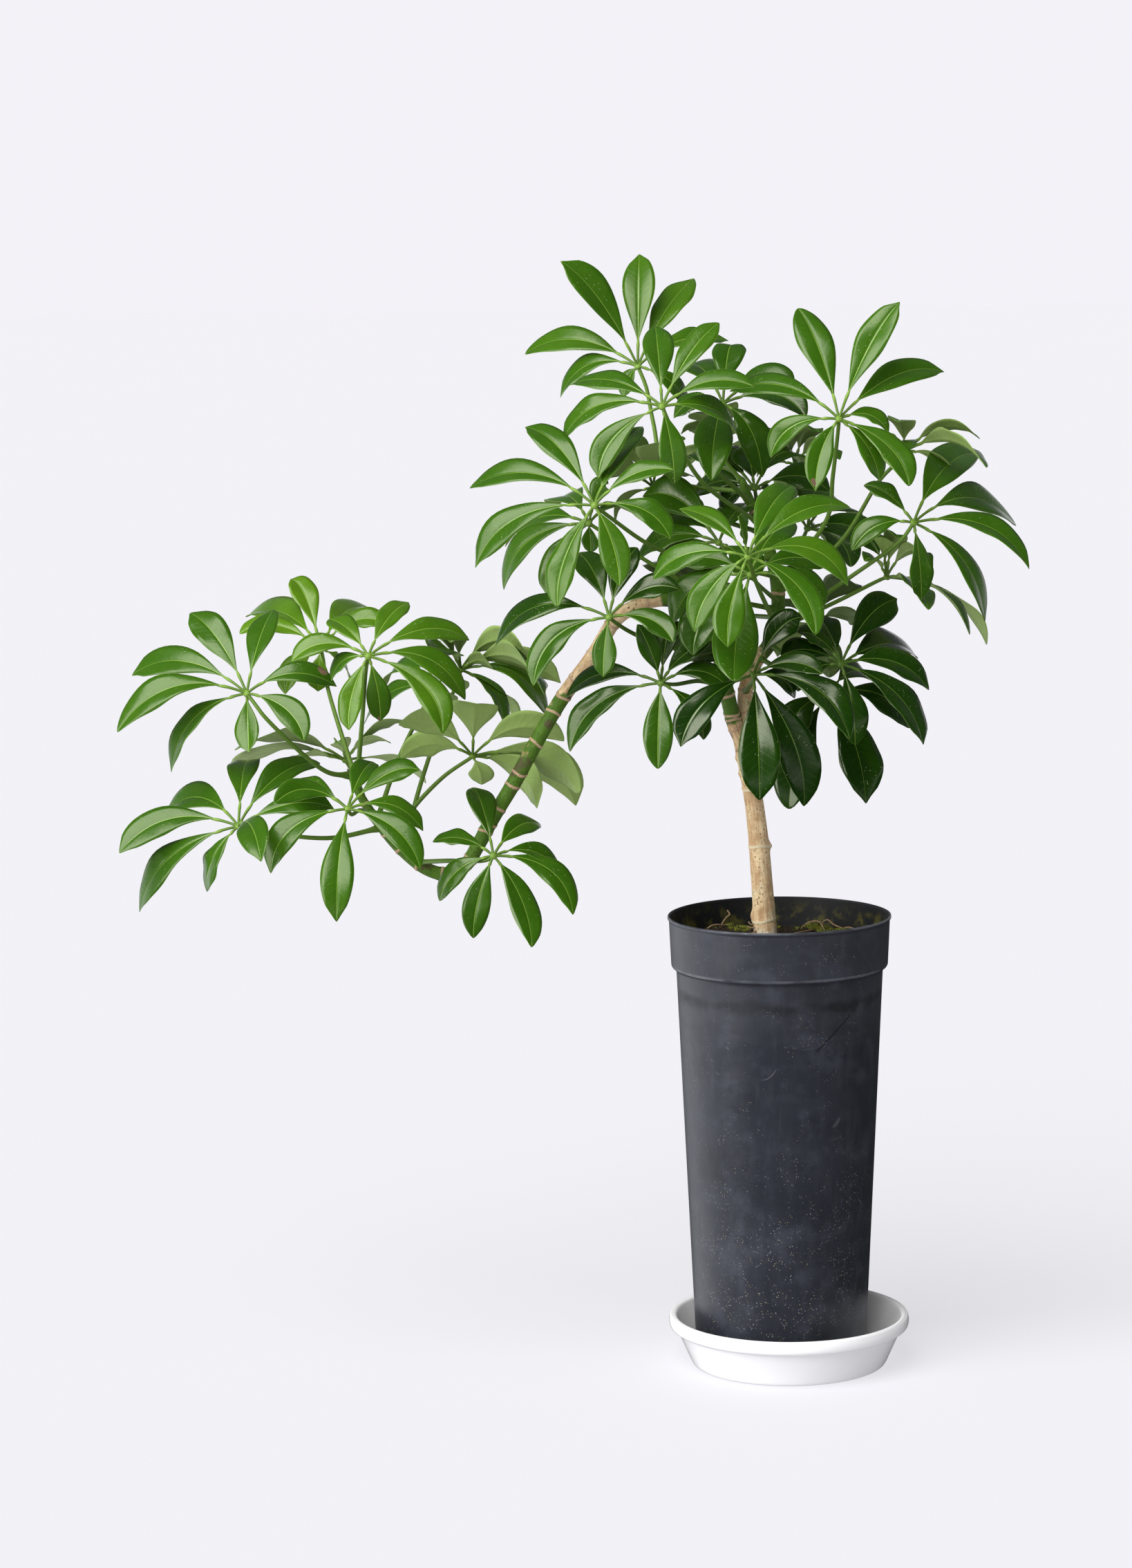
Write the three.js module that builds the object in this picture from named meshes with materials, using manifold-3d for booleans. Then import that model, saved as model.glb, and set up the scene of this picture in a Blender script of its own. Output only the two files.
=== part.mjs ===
// Potted umbrella plant: a tall nursery pot of soil in a saucer, a woody stem with one
// arching branch, and a solid for each frond of leaflets. Millimetres, +Z up. The origin
// is the middle of the saucer's flat underside, and the plant's front faces -Y.

import * as THREE from 'three';
import { mergeVertices } from 'three/addons/utils/BufferGeometryUtils.js';
import Module from 'manifold-3d';

const wasm = await Module();
wasm.setup();

// Driving dimensions
const ROUND_STEPS = 32;
const GAP = 0.3;
const STEM_GAP = 0.42;

const POT_X = -6.5;
const POT_RIM_RADIUS = 90;
const POT_TOP = 370;
const POT_LIP = 2.2;
const POT_COLLAR_HEIGHT = 40;
const POT_COLLAR_FOOT_RADIUS = 87.2;
const POT_BODY_TOP_RADIUS = 83.2;
const POT_FOOT_RADIUS = 68.8;
const POT_WALL = 1.8;
const POT_FLOOR = 2.4;
const POT_FOOT_RING = 8;
const POT_FOOT_RISE = 3;
const DRAIN_HOLES = 5;
const DRAIN_RADIUS = 6;
const DRAIN_CIRCLE = 44;
const DRAIN_SIDES = 8;

const SAUCER_RADIUS = 98.3;
const SAUCER_HEIGHT = 41;
const SAUCER_FOOT_RADIUS = 79.5;
const SAUCER_FLOOR = 3;
const SAUCER_WALL = 2.7;
const SAUCER_ROLL_HEIGHT = 10.5;
const SAUCER_ROLL_WIDTH = 6.5;

const SOIL_TOP = 348;
const SOIL_BUMP = 2.4;
const SOIL_RINGS = 5;
const SOIL_STEPS = 32;
const SOIL_SEED = 41;
const SOIL_GAP = 0.5;

const LEAFLET_REACH = 104;
const LEAFLET_HALF_WIDTH = 0.135;
const LEAFLET_STALK = 0.2;
const LEAFLET_ARCH = 0.12;
const LEAFLET_FOLD = 0.17;
const LEAFLET_DROOP = 0.2;
const RIB_ABOVE = 0.6;
const RIB_BELOW = 0.8;
const STALK_RADIUS = 1.25;
const HUB_RADIUS = 6;
const LEAFLET_ROOT = 2.6;
const PETIOLE_TOP_RADIUS = 1.5;
const PETIOLE_FOOT_RADIUS = 2.3;
const PETIOLE_SIDES = 4;
const PETIOLE_STEPS = 4;
const STEM_SIDES = 8;
const LEAFLET_STATIONS = [LEAFLET_STALK + 0.02, 0.45, 0.78];

// Colours and finishes
const FINISH = {
  leaf: { color: 0x2f6b1e, roughness: 0.32, metalness: 0 },
  bark: { color: 0xa88a68, roughness: 0.85, metalness: 0 },
  soil: { color: 0x2c2119, roughness: 0.95, metalness: 0 },
  pot: { color: 0x2b2d31, roughness: 0.55, metalness: 0 },
  saucer: { color: 0xf1f1f2, roughness: 0.25, metalness: 0 },
};

// The view that the plant was measured in. A place in it is two picture coordinates and a
// depth, which is the distance behind the saucer's middle.
const VIEW = {
  eye: new THREE.Vector3(-176.7, -3448, 957),
  pitch: THREE.MathUtils.degToRad(7.9),
  roll: THREE.MathUtils.degToRad(-0.727),
  focal: 6264,
  middleU: 819,
  middleV: 1134,
};

const ahead = new THREE.Vector3(0, Math.cos(VIEW.pitch), -Math.sin(VIEW.pitch));
const overhead = new THREE.Vector3(0, Math.sin(VIEW.pitch), Math.cos(VIEW.pitch));
const acrossView = new THREE.Vector3(1, 0, 0).multiplyScalar(Math.cos(VIEW.roll))
  .addScaledVector(overhead, Math.sin(VIEW.roll));
const upView = overhead.clone().multiplyScalar(Math.cos(VIEW.roll))
  .addScaledVector(new THREE.Vector3(1, 0, 0), -Math.sin(VIEW.roll));
const WORLD_UP = new THREE.Vector3(0, 0, 1);

function place(u, v, depth) {
  const ray = ahead.clone().multiplyScalar(VIEW.focal)
    .addScaledVector(acrossView, u - VIEW.middleU)
    .addScaledVector(upView, VIEW.middleV - v);
  return VIEW.eye.clone().addScaledVector(ray, (depth - VIEW.eye.y) / ray.y);
}

function inPicture(point) {
  const ray = point.clone().sub(VIEW.eye);
  const far = ray.dot(ahead);
  return [
    VIEW.middleU + VIEW.focal * ray.dot(acrossView) / far,
    VIEW.middleV - VIEW.focal * ray.dot(upView) / far,
  ];
}

// The stem's three stretches. Each row is picture u, picture v, depth and radius.
const STEM = {
  trunk: [
    [1114, 1399, 0, 9.9], [1109, 1362, 0, 9.5], [1104, 1297, 0, 8.8], [1098, 1220, 0, 8.4],
    [1091, 1160, 0, 7.8], [1084, 1120, 0, 7.5], [1072, 1062, 0, 7.2],
  ],
  crown: [
    [1076, 1082, 0, 5.5], [1079, 1040, 3, 6.2], [1078, 1005, 5, 6.1], [1084, 980, 6, 6],
    [1095, 955, 8, 5.9], [1112, 933, 8, 5.8], [1125, 890, 8, 5.6], [1123, 835, 8, 5.2],
    [1106, 775, 8, 4.8], [1084, 722, 10, 4.2], [1072, 690, 10, 3],
  ],
  branch: [
    [1076, 1082, 0, 5.5], [1063, 1048, -2, 6.4], [1056, 1020, -5, 6.3], [1048, 985, -8, 6.2],
    [1041, 948, -10, 6.1], [1024, 908, -12, 6], [1000, 884, -14, 6], [972, 868, -16, 6],
    [942, 869, -18, 6], [912, 881, -20, 6.1], [892, 895, -20, 6.2], [857, 950, -20, 6.2],
    [812, 1012, -16, 6.2], [775, 1075, -12, 6.2], [745, 1130, -8, 6.2], [712, 1185, -4, 6.1],
    [691, 1224, -2, 6], [672, 1253, 0, 5.8], [645, 1264, 0, 5.6], [618, 1257, 0, 5.4],
    [580, 1228, 0, 4.8], [552, 1196, 0, 4.2], [524, 1155, 2, 3.6], [502, 1110, 4, 2.6],
  ],
};

// The fronds. hub is where the leaflets meet: picture u, picture v and depth. face is the
// way the frond's upper side looks. tips are the leaflets' picture places, with a depth
// from the hub where the rule for it doesn't serve. stalk is the petiole's way from the
// hub, and its last place, which has a depth, is on the stem.
const FRONDS = {
  frond_top_left: {
    hub: [923, 530, 60], face: [-0.2, -0.7, 0.65],
    tips: [[811, 378], [925, 368], [1004, 403], [1054, 493], [760, 512], [811, 575],
      [903, 575], [998, 597]],
    stalk: [[935, 560], [945, 610], [968, 690], [1080, 712, 10]],
  },
  frond_top_front: {
    hub: [958, 588, -95], face: [0, -0.9, 0.4],
    tips: [[948, 472], [1040, 467], [1092, 560], [1066, 628], [976, 700], [866, 692],
      [815, 637], [825, 557]],
    stalk: [[972, 620], [1010, 690], [1099, 758, 9]],
  },
  frond_left_upper: {
    hub: [860, 731, -120], face: [-0.2, -0.9, 0.35],
    tips: [[760, 618], [680, 706], [688, 821], [807, 878], [896, 848], [970, 780],
      [975, 680], [928, 617]],
    stalk: [[885, 750], [940, 788], [1010, 815], [1122, 832, 8]],
  },
  frond_left_under: {
    hub: [852, 757, -50], face: [-0.35, -0.6, 0.7],
    tips: [[731, 791], [729, 853], [791, 860], [803, 735], [855, 800], [880, 700, 70],
      [920, 745, 60]],
    stalk: [[880, 775], [950, 820], [1030, 860], [1125, 882, 8]],
  },
  frond_low_left: {
    hub: [881, 893, -120], face: [-0.1, -0.85, 0.5],
    tips: [[717, 934], [772, 992], [873, 979], [974, 929], [984, 853], [836, 800], [922, 792]],
    stalk: [[890, 900], [910, 913], [950, 930], [1041, 948, -10]],
  },
  frond_low_front: {
    hub: [956, 988, -100], face: [-0.1, -0.9, 0.45],
    tips: [[819, 1009], [825, 1087], [952, 1112], [1018, 1070], [1056, 998], [1028, 928],
      [972, 893], [922, 903, -15]],
    stalk: [[975, 990], [1010, 985], [1050, 995, -7]],
  },
  frond_low_middle: {
    hub: [1090, 976, -100], face: [0, -0.7, 0.7],
    tips: [[1099, 1157], [1163, 1166], [1229, 1069], [1190, 975], [1160, 893], [985, 1080],
      [998, 957], [1150, 1010]],
    stalk: [[1090, 985], [1086, 990], [1079, 1000, 5]],
  },
  frond_low_right: {
    hub: [1217, 961, -70], face: [0.3, -0.75, 0.6],
    tips: [[1298, 866], [1327, 952], [1344, 998], [1336, 1077], [1237, 1077], [1155, 1000],
      [1130, 949], [1153, 915], [1178, 888]],
    stalk: [[1205, 965], [1160, 960], [1112, 931, 8]],
  },
  frond_low_right_under: {
    hub: [1200, 1003, -15], face: [0.1, -0.6, 0.8],
    tips: [[1142, 1170], [1253, 1162], [1316, 1053], [1135, 1080], [1262, 985], [1140, 975]],
    stalk: [[1185, 1000], [1140, 975], [1098, 951, 8]],
  },
  frond_middle_front: {
    hub: [1082, 805, -150], face: [0.1, -0.9, 0.4],
    tips: [[983, 736], [1148, 703], [1231, 735], [1227, 848], [1180, 918], [1053, 936],
      [1005, 914], [945, 838], [1068, 747, -25]],
    stalk: [[1094, 842], [1108, 874], [1122, 904, 8]],
  },
  frond_middle_under: {
    hub: [1085, 832, -80], face: [0, -0.85, 0.5],
    tips: [[1062, 985], [1003, 948], [973, 903], [985, 818], [1190, 877], [1200, 820],
      [1147, 752]],
    stalk: [[1098, 846], [1125, 870, 8]],
  },
  frond_right_upper: {
    hub: [1214, 606, -70], face: [0.15, -0.8, 0.55],
    tips: [[1155, 446], [1302, 437], [1366, 538], [1286, 628], [1315, 703], [1272, 694],
      [1180, 710], [1115, 662], [1056, 566]],
    stalk: [[1213, 620], [1205, 690], [1197, 750], [1124, 846, 8]],
  },
  frond_top_middle: {
    hub: [1046, 584, -10], face: [0, -0.55, 0.8],
    tips: [[1060, 500], [990, 533], [1030, 695], [1103, 690], [1165, 603], [1150, 556],
      [975, 605]],
    stalk: [[1035, 600], [1018, 650], [1086, 728, 10]],
  },
  frond_middle_back: {
    hub: [1092, 707, 25], face: [0, -0.4, 0.9],
    tips: [[1077, 645, 45], [998, 664], [1000, 722], [1043, 742], [1165, 675], [1200, 711],
      [1130, 735]],
    stalk: [[1094, 720], [1096, 745], [1093, 744, 9]],
  },
  frond_right_back: {
    hub: [1168, 765, 60], face: [0.3, -0.4, 0.85],
    tips: [[1205, 795], [1237, 757], [1231, 820], [1272, 803], [1130, 750], [1185, 700, 55]],
    stalk: [[1162, 778], [1145, 800], [1119, 818, 8]],
  },
  frond_right: {
    hub: [1322, 756, -55], face: [0.4, -0.8, 0.4],
    tips: [[1412, 655], [1470, 759], [1489, 823], [1425, 900], [1333, 867], [1233, 796],
      [1250, 702]],
    stalk: [[1305, 780], [1230, 835], [1180, 870], [1116, 922, 8]],
  },
  frond_right_side: {
    hub: [1310, 653, 10], face: [0.35, 0.55, 0.75],
    tips: [[1418, 635], [1427, 676], [1375, 698], [1298, 665, -60], [1262, 640], [1300, 610]],
    stalk: [[1305, 662], [1275, 692], [1215, 785], [1125, 858, 8]],
  },
  frond_right_low_back: {
    hub: [1283, 835, 40], face: [0.5, 0.4, 0.75],
    tips: [[1251, 812], [1403, 918], [1427, 932], [1343, 882], [1300, 778], [1268, 778],
      [1350, 820]],
    stalk: [[1275, 838], [1215, 868], [1119, 913, 8]],
  },
  frond_back_left: {
    hub: [945, 705, 60], face: [-0.3, 0.6, 0.75],
    tips: [[863, 700], [900, 650], [963, 640], [1005, 690], [960, 770], [890, 760]],
    stalk: [[960, 715], [1010, 740], [1105, 772, 8]],
  },
  frond_back_top: {
    hub: [1040, 650, 105], face: [0, 0.6, 0.8],
    tips: [[985, 628], [1030, 600], [1095, 620], [1105, 665], [1040, 715], [985, 680]],
    stalk: [[1043, 656], [1050, 668], [1074, 697, 10]],
  },
  frond_back_right: {
    hub: [1150, 672, 130], face: [0.3, 0.55, 0.8],
    tips: [[1120, 625], [1185, 625], [1215, 665], [1190, 720], [1135, 730], [1095, 690]],
    stalk: [[1145, 690], [1125, 740], [1110, 788, 8]],
  },
  frond_left_inner: {
    hub: [1040, 785, -20], face: [-0.4, -0.6, 0.6],
    tips: [[930, 718], [958, 747], [922, 815], [962, 845], [1085, 728, 40], [1090, 840]],
    stalk: [[1050, 795], [1080, 815], [1115, 804, 8]],
  },
  frond_back_low: {
    hub: [1010, 880, 90], face: [-0.3, 0.6, 0.75],
    tips: [[925, 870], [950, 815], [1030, 800], [1075, 850], [1060, 930], [980, 945]],
    stalk: [[1030, 885], [1080, 890], [1124, 893, 8]],
  },
  frond_back_low_right: {
    hub: [1180, 900, 118], face: [0.4, 0.6, 0.7],
    tips: [[1120, 870], [1165, 820, 40], [1245, 850], [1255, 920], [1200, 980], [1125, 950]],
    stalk: [[1165, 905], [1145, 915], [1106, 940, 8]],
  },
  cluster_far_left: {
    hub: [357, 1003, -40], face: [-0.35, -0.8, 0.45],
    tips: [[275, 887], [395, 882], [191, 977], [170, 1059], [248, 1117], [360, 1088],
      [440, 1072], [487, 993]],
    stalk: [[370, 1020], [383, 1037], [470, 1115], [507, 1122, 4]],
  },
  cluster_top_back: {
    hub: [464, 937, 50], face: [0, -0.6, 0.8],
    tips: [[420, 838], [358, 892], [347, 917], [413, 1004], [460, 1000], [535, 880],
      [565, 907], [505, 985]],
    stalk: [[467, 950], [473, 990], [524, 1155, 2]],
  },
  cluster_top_front: {
    hub: [533, 949, -70], face: [0, -0.9, 0.45],
    tips: [[475, 896], [591, 871], [679, 926], [673, 1012], [640, 1061], [550, 1043],
      [505, 1056], [422, 957], [480, 985]],
    stalk: [[530, 965], [525, 1030], [516, 1140, 3]],
  },
  cluster_low_front: {
    hub: [503, 1170, -75], face: [0, -0.75, 0.65],
    tips: [[540, 1102], [607, 1114], [612, 1202], [608, 1257], [487, 1333], [392, 1263],
      [397, 1163], [411, 1143]],
    stalk: [[508, 1178], [520, 1172], [540, 1180, 1]],
  },
  cluster_low_left: {
    hub: [345, 1195, -45], face: [-0.3, -0.6, 0.7],
    tips: [[360, 1102], [463, 1104], [483, 1170], [378, 1246, -80], [299, 1289], [202, 1319],
      [173, 1234], [239, 1178]],
    stalk: [[355, 1203], [400, 1207], [480, 1212], [553, 1197, 0]],
  },
  cluster_low_right: {
    hub: [714, 1238, -60], face: [0.2, -0.85, 0.45],
    tips: [[686, 1139], [782, 1192], [811, 1262], [829, 1323], [769, 1370], [685, 1357],
      [636, 1303], [626, 1218]],
    stalk: [[705, 1244], [650, 1245], [604, 1247, 0]],
  },
  cluster_right_under: {
    hub: [684, 1094, 25], face: [0.1, 0.6, 0.75],
    tips: [[690, 1018], [816, 1072], [837, 1148], [833, 1165], [777, 1169], [697, 1135],
      [577, 1048], [580, 1097]],
    stalk: [[680, 1097], [640, 1125], [590, 1180], [574, 1222, 0]],
  },
  cluster_back: {
    hub: [500, 1100, 55], face: [-0.1, 0.7, 0.7],
    tips: [[333, 1114], [392, 1127], [340, 1085], [487, 1075], [566, 1075], [616, 1133],
      [600, 1050]],
    stalk: [[503, 1105], [515, 1125], [531, 1167, 2]],
  },
  cluster_inner_back: {
    hub: [627, 993, 20], face: [-0.3, -0.3, 0.9],
    tips: [[527, 1047], [645, 1028], [672, 1000], [553, 1000], [600, 965]],
    stalk: [[620, 1010], [605, 1038], [577, 1097], [545, 1188, 0]],
  },
  cluster_right_back: {
    hub: [667, 969, 62], face: [0.4, 0.3, 0.85],
    tips: [[612, 922], [652, 930], [627, 950], [715, 969, -40], [768, 958], [811, 988],
      [788, 1005], [747, 1055], [794, 1040], [728, 1047]],
    stalk: [[662, 985], [633, 1060], [600, 1165], [588, 1236, 0]],
  },
};

// A solid through a row of rings. A ring of one point is a pointed end. The diagonals
// change side from one column to the next, so that a blade's two faces split alike.
function loft(rings) {
  const points = rings.flat();
  const starts = [];
  let start = 0;
  for (const ring of rings) {
    starts.push(start);
    start += ring.length;
  }
  const sides = Math.max(...rings.map((ring) => ring.length));
  const corner = (ring, side) => starts[ring] + (rings[ring].length === 1 ? 0 : side % sides);
  const triangles = [];
  for (let ring = 0; ring + 1 < rings.length; ring++) {
    for (let side = 0; side < sides; side++) {
      const near = corner(ring, side);
      const nearNext = corner(ring, side + 1);
      const far = corner(ring + 1, side);
      const farNext = corner(ring + 1, side + 1);
      if (side % 2 === 0) {
        triangles.push([near, nearNext, farNext], [near, farNext, far]);
      } else {
        triangles.push([near, nearNext, far], [nearNext, farNext, far]);
      }
    }
  }
  for (let side = 1; side + 1 < sides; side++) {
    if (rings[0].length > 1) {
      triangles.push([corner(0, 0), corner(0, side + 1), corner(0, side)]);
    }
    const last = rings.length - 1;
    if (rings[last].length > 1) {
      triangles.push([corner(last, 0), corner(last, side), corner(last, side + 1)]);
    }
  }
  const kept = triangles.filter(([a, b, c]) => a !== b && b !== c && a !== c);
  const facingOut = kept.reduce((sum, [a, b, c]) => (
    sum + points[a].dot(points[b].clone().cross(points[c]))), 0) > 0;
  return solidFrom(points, facingOut ? kept : kept.map(([a, b, c]) => [a, c, b]));
}

function solidFrom(points, triangles) {
  return new wasm.Manifold(new wasm.Mesh({
    numProp: 3,
    vertProperties: new Float32Array(points.flatMap((point) => point.toArray())),
    triVerts: new Uint32Array(triangles.flat()),
  }));
}

function solidOf(geometry) {
  const bare = geometry.clone();
  bare.deleteAttribute('normal');
  bare.deleteAttribute('uv');
  const merged = mergeVertices(bare, 1e-4);
  return new wasm.Manifold(new wasm.Mesh({
    numProp: 3,
    vertProperties: new Float32Array(merged.attributes.position.array),
    triVerts: new Uint32Array(merged.index.array),
  }));
}

function geometryOf(solid) {
  const mesh = solid.getMesh();
  const geometry = new THREE.BufferGeometry();
  geometry.setAttribute('position', new THREE.BufferAttribute(mesh.vertProperties, 3));
  geometry.setIndex(new THREE.BufferAttribute(mesh.triVerts, 1));
  geometry.computeVertexNormals();
  return geometry;
}

function join(solids) {
  return solids.reduce((sum, solid) => sum.add(solid));
}

// A turned piece. The profile is radius and height pairs, from the underside round the
// outside and back to the middle of the inside.
function turned(profile, x = 0) {
  const points = profile.map(([radius, height]) => new THREE.Vector2(radius, height));
  const geometry = new THREE.LatheGeometry(points, ROUND_STEPS);
  geometry.rotateX(Math.PI / 2);
  geometry.translate(x, 0, 0);
  return solidOf(geometry);
}

function saucer() {
  const foot = SAUCER_FOOT_RADIUS;
  const rollFoot = SAUCER_HEIGHT - SAUCER_ROLL_HEIGHT;
  const wallTop = SAUCER_RADIUS - SAUCER_ROLL_WIDTH;
  return turned([
    [0, 0], [foot - 2.5, 0], [foot, 1.6], [wallTop, rollFoot - 2], [SAUCER_RADIUS - 2, rollFoot],
    [SAUCER_RADIUS, rollFoot + 3.5], [SAUCER_RADIUS - 1.1, SAUCER_HEIGHT - 2.2],
    [SAUCER_RADIUS - 3.6, SAUCER_HEIGHT], [SAUCER_RADIUS - 6.1, SAUCER_HEIGHT - 0.9],
    [wallTop - 2.4, rollFoot + 3], [foot - SAUCER_WALL + 1, SAUCER_FLOOR + 2.6],
    [foot - SAUCER_WALL - 2, SAUCER_FLOOR], [0, SAUCER_FLOOR],
  ]);
}

const potFoot = SAUCER_FLOOR + GAP;
const collarFoot = POT_TOP - POT_COLLAR_HEIGHT;
const soilFloor = potFoot + POT_FOOT_RISE + POT_FLOOR + GAP;

function pot() {
  const shell = turned([
    [0, potFoot + POT_FOOT_RISE], [POT_FOOT_RADIUS - POT_FOOT_RING, potFoot + POT_FOOT_RISE],
    [POT_FOOT_RADIUS - POT_FOOT_RING + 1, potFoot], [POT_FOOT_RADIUS - 1.2, potFoot],
    [POT_FOOT_RADIUS, potFoot + 1.2], [POT_BODY_TOP_RADIUS, collarFoot - 3],
    [POT_COLLAR_FOOT_RADIUS - 1.5, collarFoot - 0.5], [POT_COLLAR_FOOT_RADIUS, collarFoot + 2],
    [POT_RIM_RADIUS - 1, POT_TOP - POT_LIP - 1], [POT_RIM_RADIUS, POT_TOP - POT_LIP],
    [POT_RIM_RADIUS - 0.4, POT_TOP], [POT_RIM_RADIUS - POT_WALL, POT_TOP - 0.3],
    [POT_COLLAR_FOOT_RADIUS - POT_WALL, collarFoot + 3.4],
    [POT_BODY_TOP_RADIUS - POT_WALL, collarFoot - 1.4],
    [POT_FOOT_RADIUS - POT_WALL, soilFloor - GAP], [0, soilFloor - GAP],
  ], POT_X);
  const holes = [];
  for (let hole = 0; hole < DRAIN_HOLES; hole++) {
    const turn = 2 * Math.PI * hole / DRAIN_HOLES;
    const drill = new THREE.CylinderGeometry(DRAIN_RADIUS, DRAIN_RADIUS, 20, DRAIN_SIDES);
    drill.rotateX(Math.PI / 2);
    drill.translate(POT_X + DRAIN_CIRCLE * Math.cos(turn), DRAIN_CIRCLE * Math.sin(turn), potFoot);
    holes.push(solidOf(drill));
  }
  return shell.subtract(join(holes));
}

// Repeatable numbers from 0 to 1
function seededRandom(seed) {
  let state = seed;
  return () => {
    state = (state * 16807) % 2147483647;
    return state / 2147483647;
  };
}

function soil() {
  const random = seededRandom(SOIL_SEED);
  const middle = new THREE.Vector3(POT_X, 0, 0);
  const edge = POT_COLLAR_FOOT_RADIUS - POT_WALL + 0.6;
  const at = (radius, height, step) => {
    const turn = 2 * Math.PI * step / SOIL_STEPS;
    const reach = new THREE.Vector3(Math.cos(turn), Math.sin(turn), 0).multiplyScalar(radius);
    return reach.add(middle).setZ(height);
  };
  const ringOf = (radius, height, bump) => (
    Array.from({ length: SOIL_STEPS }, (_, step) => (
      at(radius, height + bump * (2 * random() - 1), step))));
  const rings = [
    [new THREE.Vector3(POT_X, 0, soilFloor)],
    ringOf(POT_FOOT_RADIUS - POT_WALL - SOIL_GAP, soilFloor, 0),
    ringOf(POT_BODY_TOP_RADIUS - POT_WALL - SOIL_GAP, collarFoot - 1.4, 0),
    ringOf(POT_COLLAR_FOOT_RADIUS - POT_WALL - SOIL_GAP, collarFoot + 3.4, 0),
    ringOf(edge - SOIL_GAP, SOIL_TOP - 1.5, 0.6),
  ];
  for (let ring = SOIL_RINGS - 1; ring > 0; ring--) {
    rings.push(ringOf(edge * ring / SOIL_RINGS, SOIL_TOP, SOIL_BUMP));
  }
  rings.push([new THREE.Vector3(POT_X, 0, SOIL_TOP)]);
  const [foot, ...above] = STEM.trunk;
  const socket = bar(
    [place(foot[0], foot[1] + 3, foot[2]), ...above.map(([u, v, depth]) => place(u, v, depth))],
    STEM.trunk.map((row) => row[3] + STEM_GAP),
    STEM_SIDES,
    STEM.trunk.length,
  );
  return loft(rings).subtract(socket);
}

// A round bar of changing radius along a smooth curve
function bar(points, radii, sides, steps) {
  const curve = new THREE.CatmullRomCurve3(points, false, 'centripetal');
  const frames = curve.computeFrenetFrames(steps, false);
  const rings = [];
  for (let step = 0; step <= steps; step++) {
    const along = step / steps;
    const middle = curve.getPointAt(along);
    const span = along * (radii.length - 1);
    const before = Math.min(Math.floor(span), radii.length - 2);
    const radius = THREE.MathUtils.lerp(radii[before], radii[before + 1], span - before);
    const ring = [];
    for (let side = 0; side < sides; side++) {
      const turn = 2 * Math.PI * side / sides;
      ring.push(middle.clone()
        .addScaledVector(frames.normals[step], radius * Math.cos(turn))
        .addScaledVector(frames.binormals[step], radius * Math.sin(turn)));
    }
    rings.push(ring);
  }
  return loft(rings);
}

function stem(grow = 0) {
  const stretches = Object.values(STEM).map((rows) => bar(
    rows.map(([u, v, depth]) => place(u, v, depth)),
    rows.map((row) => row[3] + grow),
    STEM_SIDES,
    rows.length,
  ));
  return join(stretches);
}

// Where a leaflet's tip lies in depth. The frond is a shallow cone about its face, and no
// leaflet is longer than its reach.
function tipDepth(hub, face, tip) {
  const [u, v, stated] = tip;
  if (stated !== undefined) {
    return stated;
  }
  const flat = place(u, v, hub.y).sub(hub);
  const reach = Math.sqrt(Math.max(LEAFLET_REACH ** 2 - flat.lengthSq(), 0));
  const cone = -(LEAFLET_REACH * LEAFLET_DROOP + flat.dot(face)) / face.y;
  return THREE.MathUtils.clamp(cone, -reach, reach);
}

function leafletCurve(leaflet) {
  const { hub, face, u, v, depth, shift } = leaflet;
  const still = place(u, v, depth);
  const knee = hub.clone().lerp(still, 0.5)
    .addScaledVector(face, LEAFLET_ARCH * hub.distanceTo(still) * 0.5)
    .addScaledVector(WORLD_UP, LEAFLET_ARCH * hub.distanceTo(still) * 0.5);
  return new THREE.QuadraticBezierCurve3(hub, knee, place(u, v, depth + shift));
}

// Half the blade's width at a place along the leaflet, as a share of the widest place
function bladeShare(along) {
  const blade = (along - LEAFLET_STALK) / (1 - LEAFLET_STALK);
  if (blade <= 0) {
    return 0;
  }
  return Math.min(1, 1.32 * Math.sin(Math.PI * blade ** 0.86) ** 0.72 * (0.72 + 0.28 * blade));
}

function sectionAt(leaflet, curve, along) {
  const middle = curve.getPoint(along);
  const forward = curve.getTangent(along);
  const across = forward.clone().cross(leaflet.face).normalize();
  const above = across.clone().cross(forward).normalize();
  const length = leaflet.hub.distanceTo(curve.v2);
  const half = LEAFLET_HALF_WIDTH * length * bladeShare(along);
  return { middle, across, above, half };
}

function leafletSolid(leaflet) {
  const curve = leafletCurve(leaflet);
  const rings = [];
  const root = LEAFLET_ROOT / (2 * curve.v0.distanceTo(curve.v1));
  for (const along of [root, ...LEAFLET_STATIONS]) {
    const { middle, across, above, half } = sectionAt(leaflet, curve, along);
    const wide = Math.max(half, STALK_RADIUS);
    const round = half < STALK_RADIUS * 2;
    const up = round ? STALK_RADIUS : RIB_ABOVE;
    const down = round ? STALK_RADIUS : RIB_BELOW;
    const lift = round ? 0 : LEAFLET_FOLD * wide;
    rings.push([
      middle.clone().addScaledVector(across, -wide).addScaledVector(above, lift),
      middle.clone().addScaledVector(above, up),
      middle.clone().addScaledVector(across, wide).addScaledVector(above, lift),
      middle.clone().addScaledVector(above, -down),
    ]);
  }
  rings.push([curve.v2.clone()]);
  return loft(rings);
}

function petiolePoints(petiole) {
  const { hub, ways, root, shift } = petiole;
  const flat = [inPicture(hub), ...ways.map(([u, v]) => [u, v]), inPicture(root)];
  const lengths = [0];
  for (let i = 1; i < flat.length; i++) {
    lengths.push(lengths[i - 1] + Math.hypot(
      flat[i][0] - flat[i - 1][0], flat[i][1] - flat[i - 1][1]));
  }
  return flat.map(([u, v], i) => {
    const along = lengths[i] / lengths[lengths.length - 1];
    const depth = THREE.MathUtils.lerp(hub.y, root.y, along);
    return place(u, v, depth + shift * Math.sin(Math.PI * along));
  });
}

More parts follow.
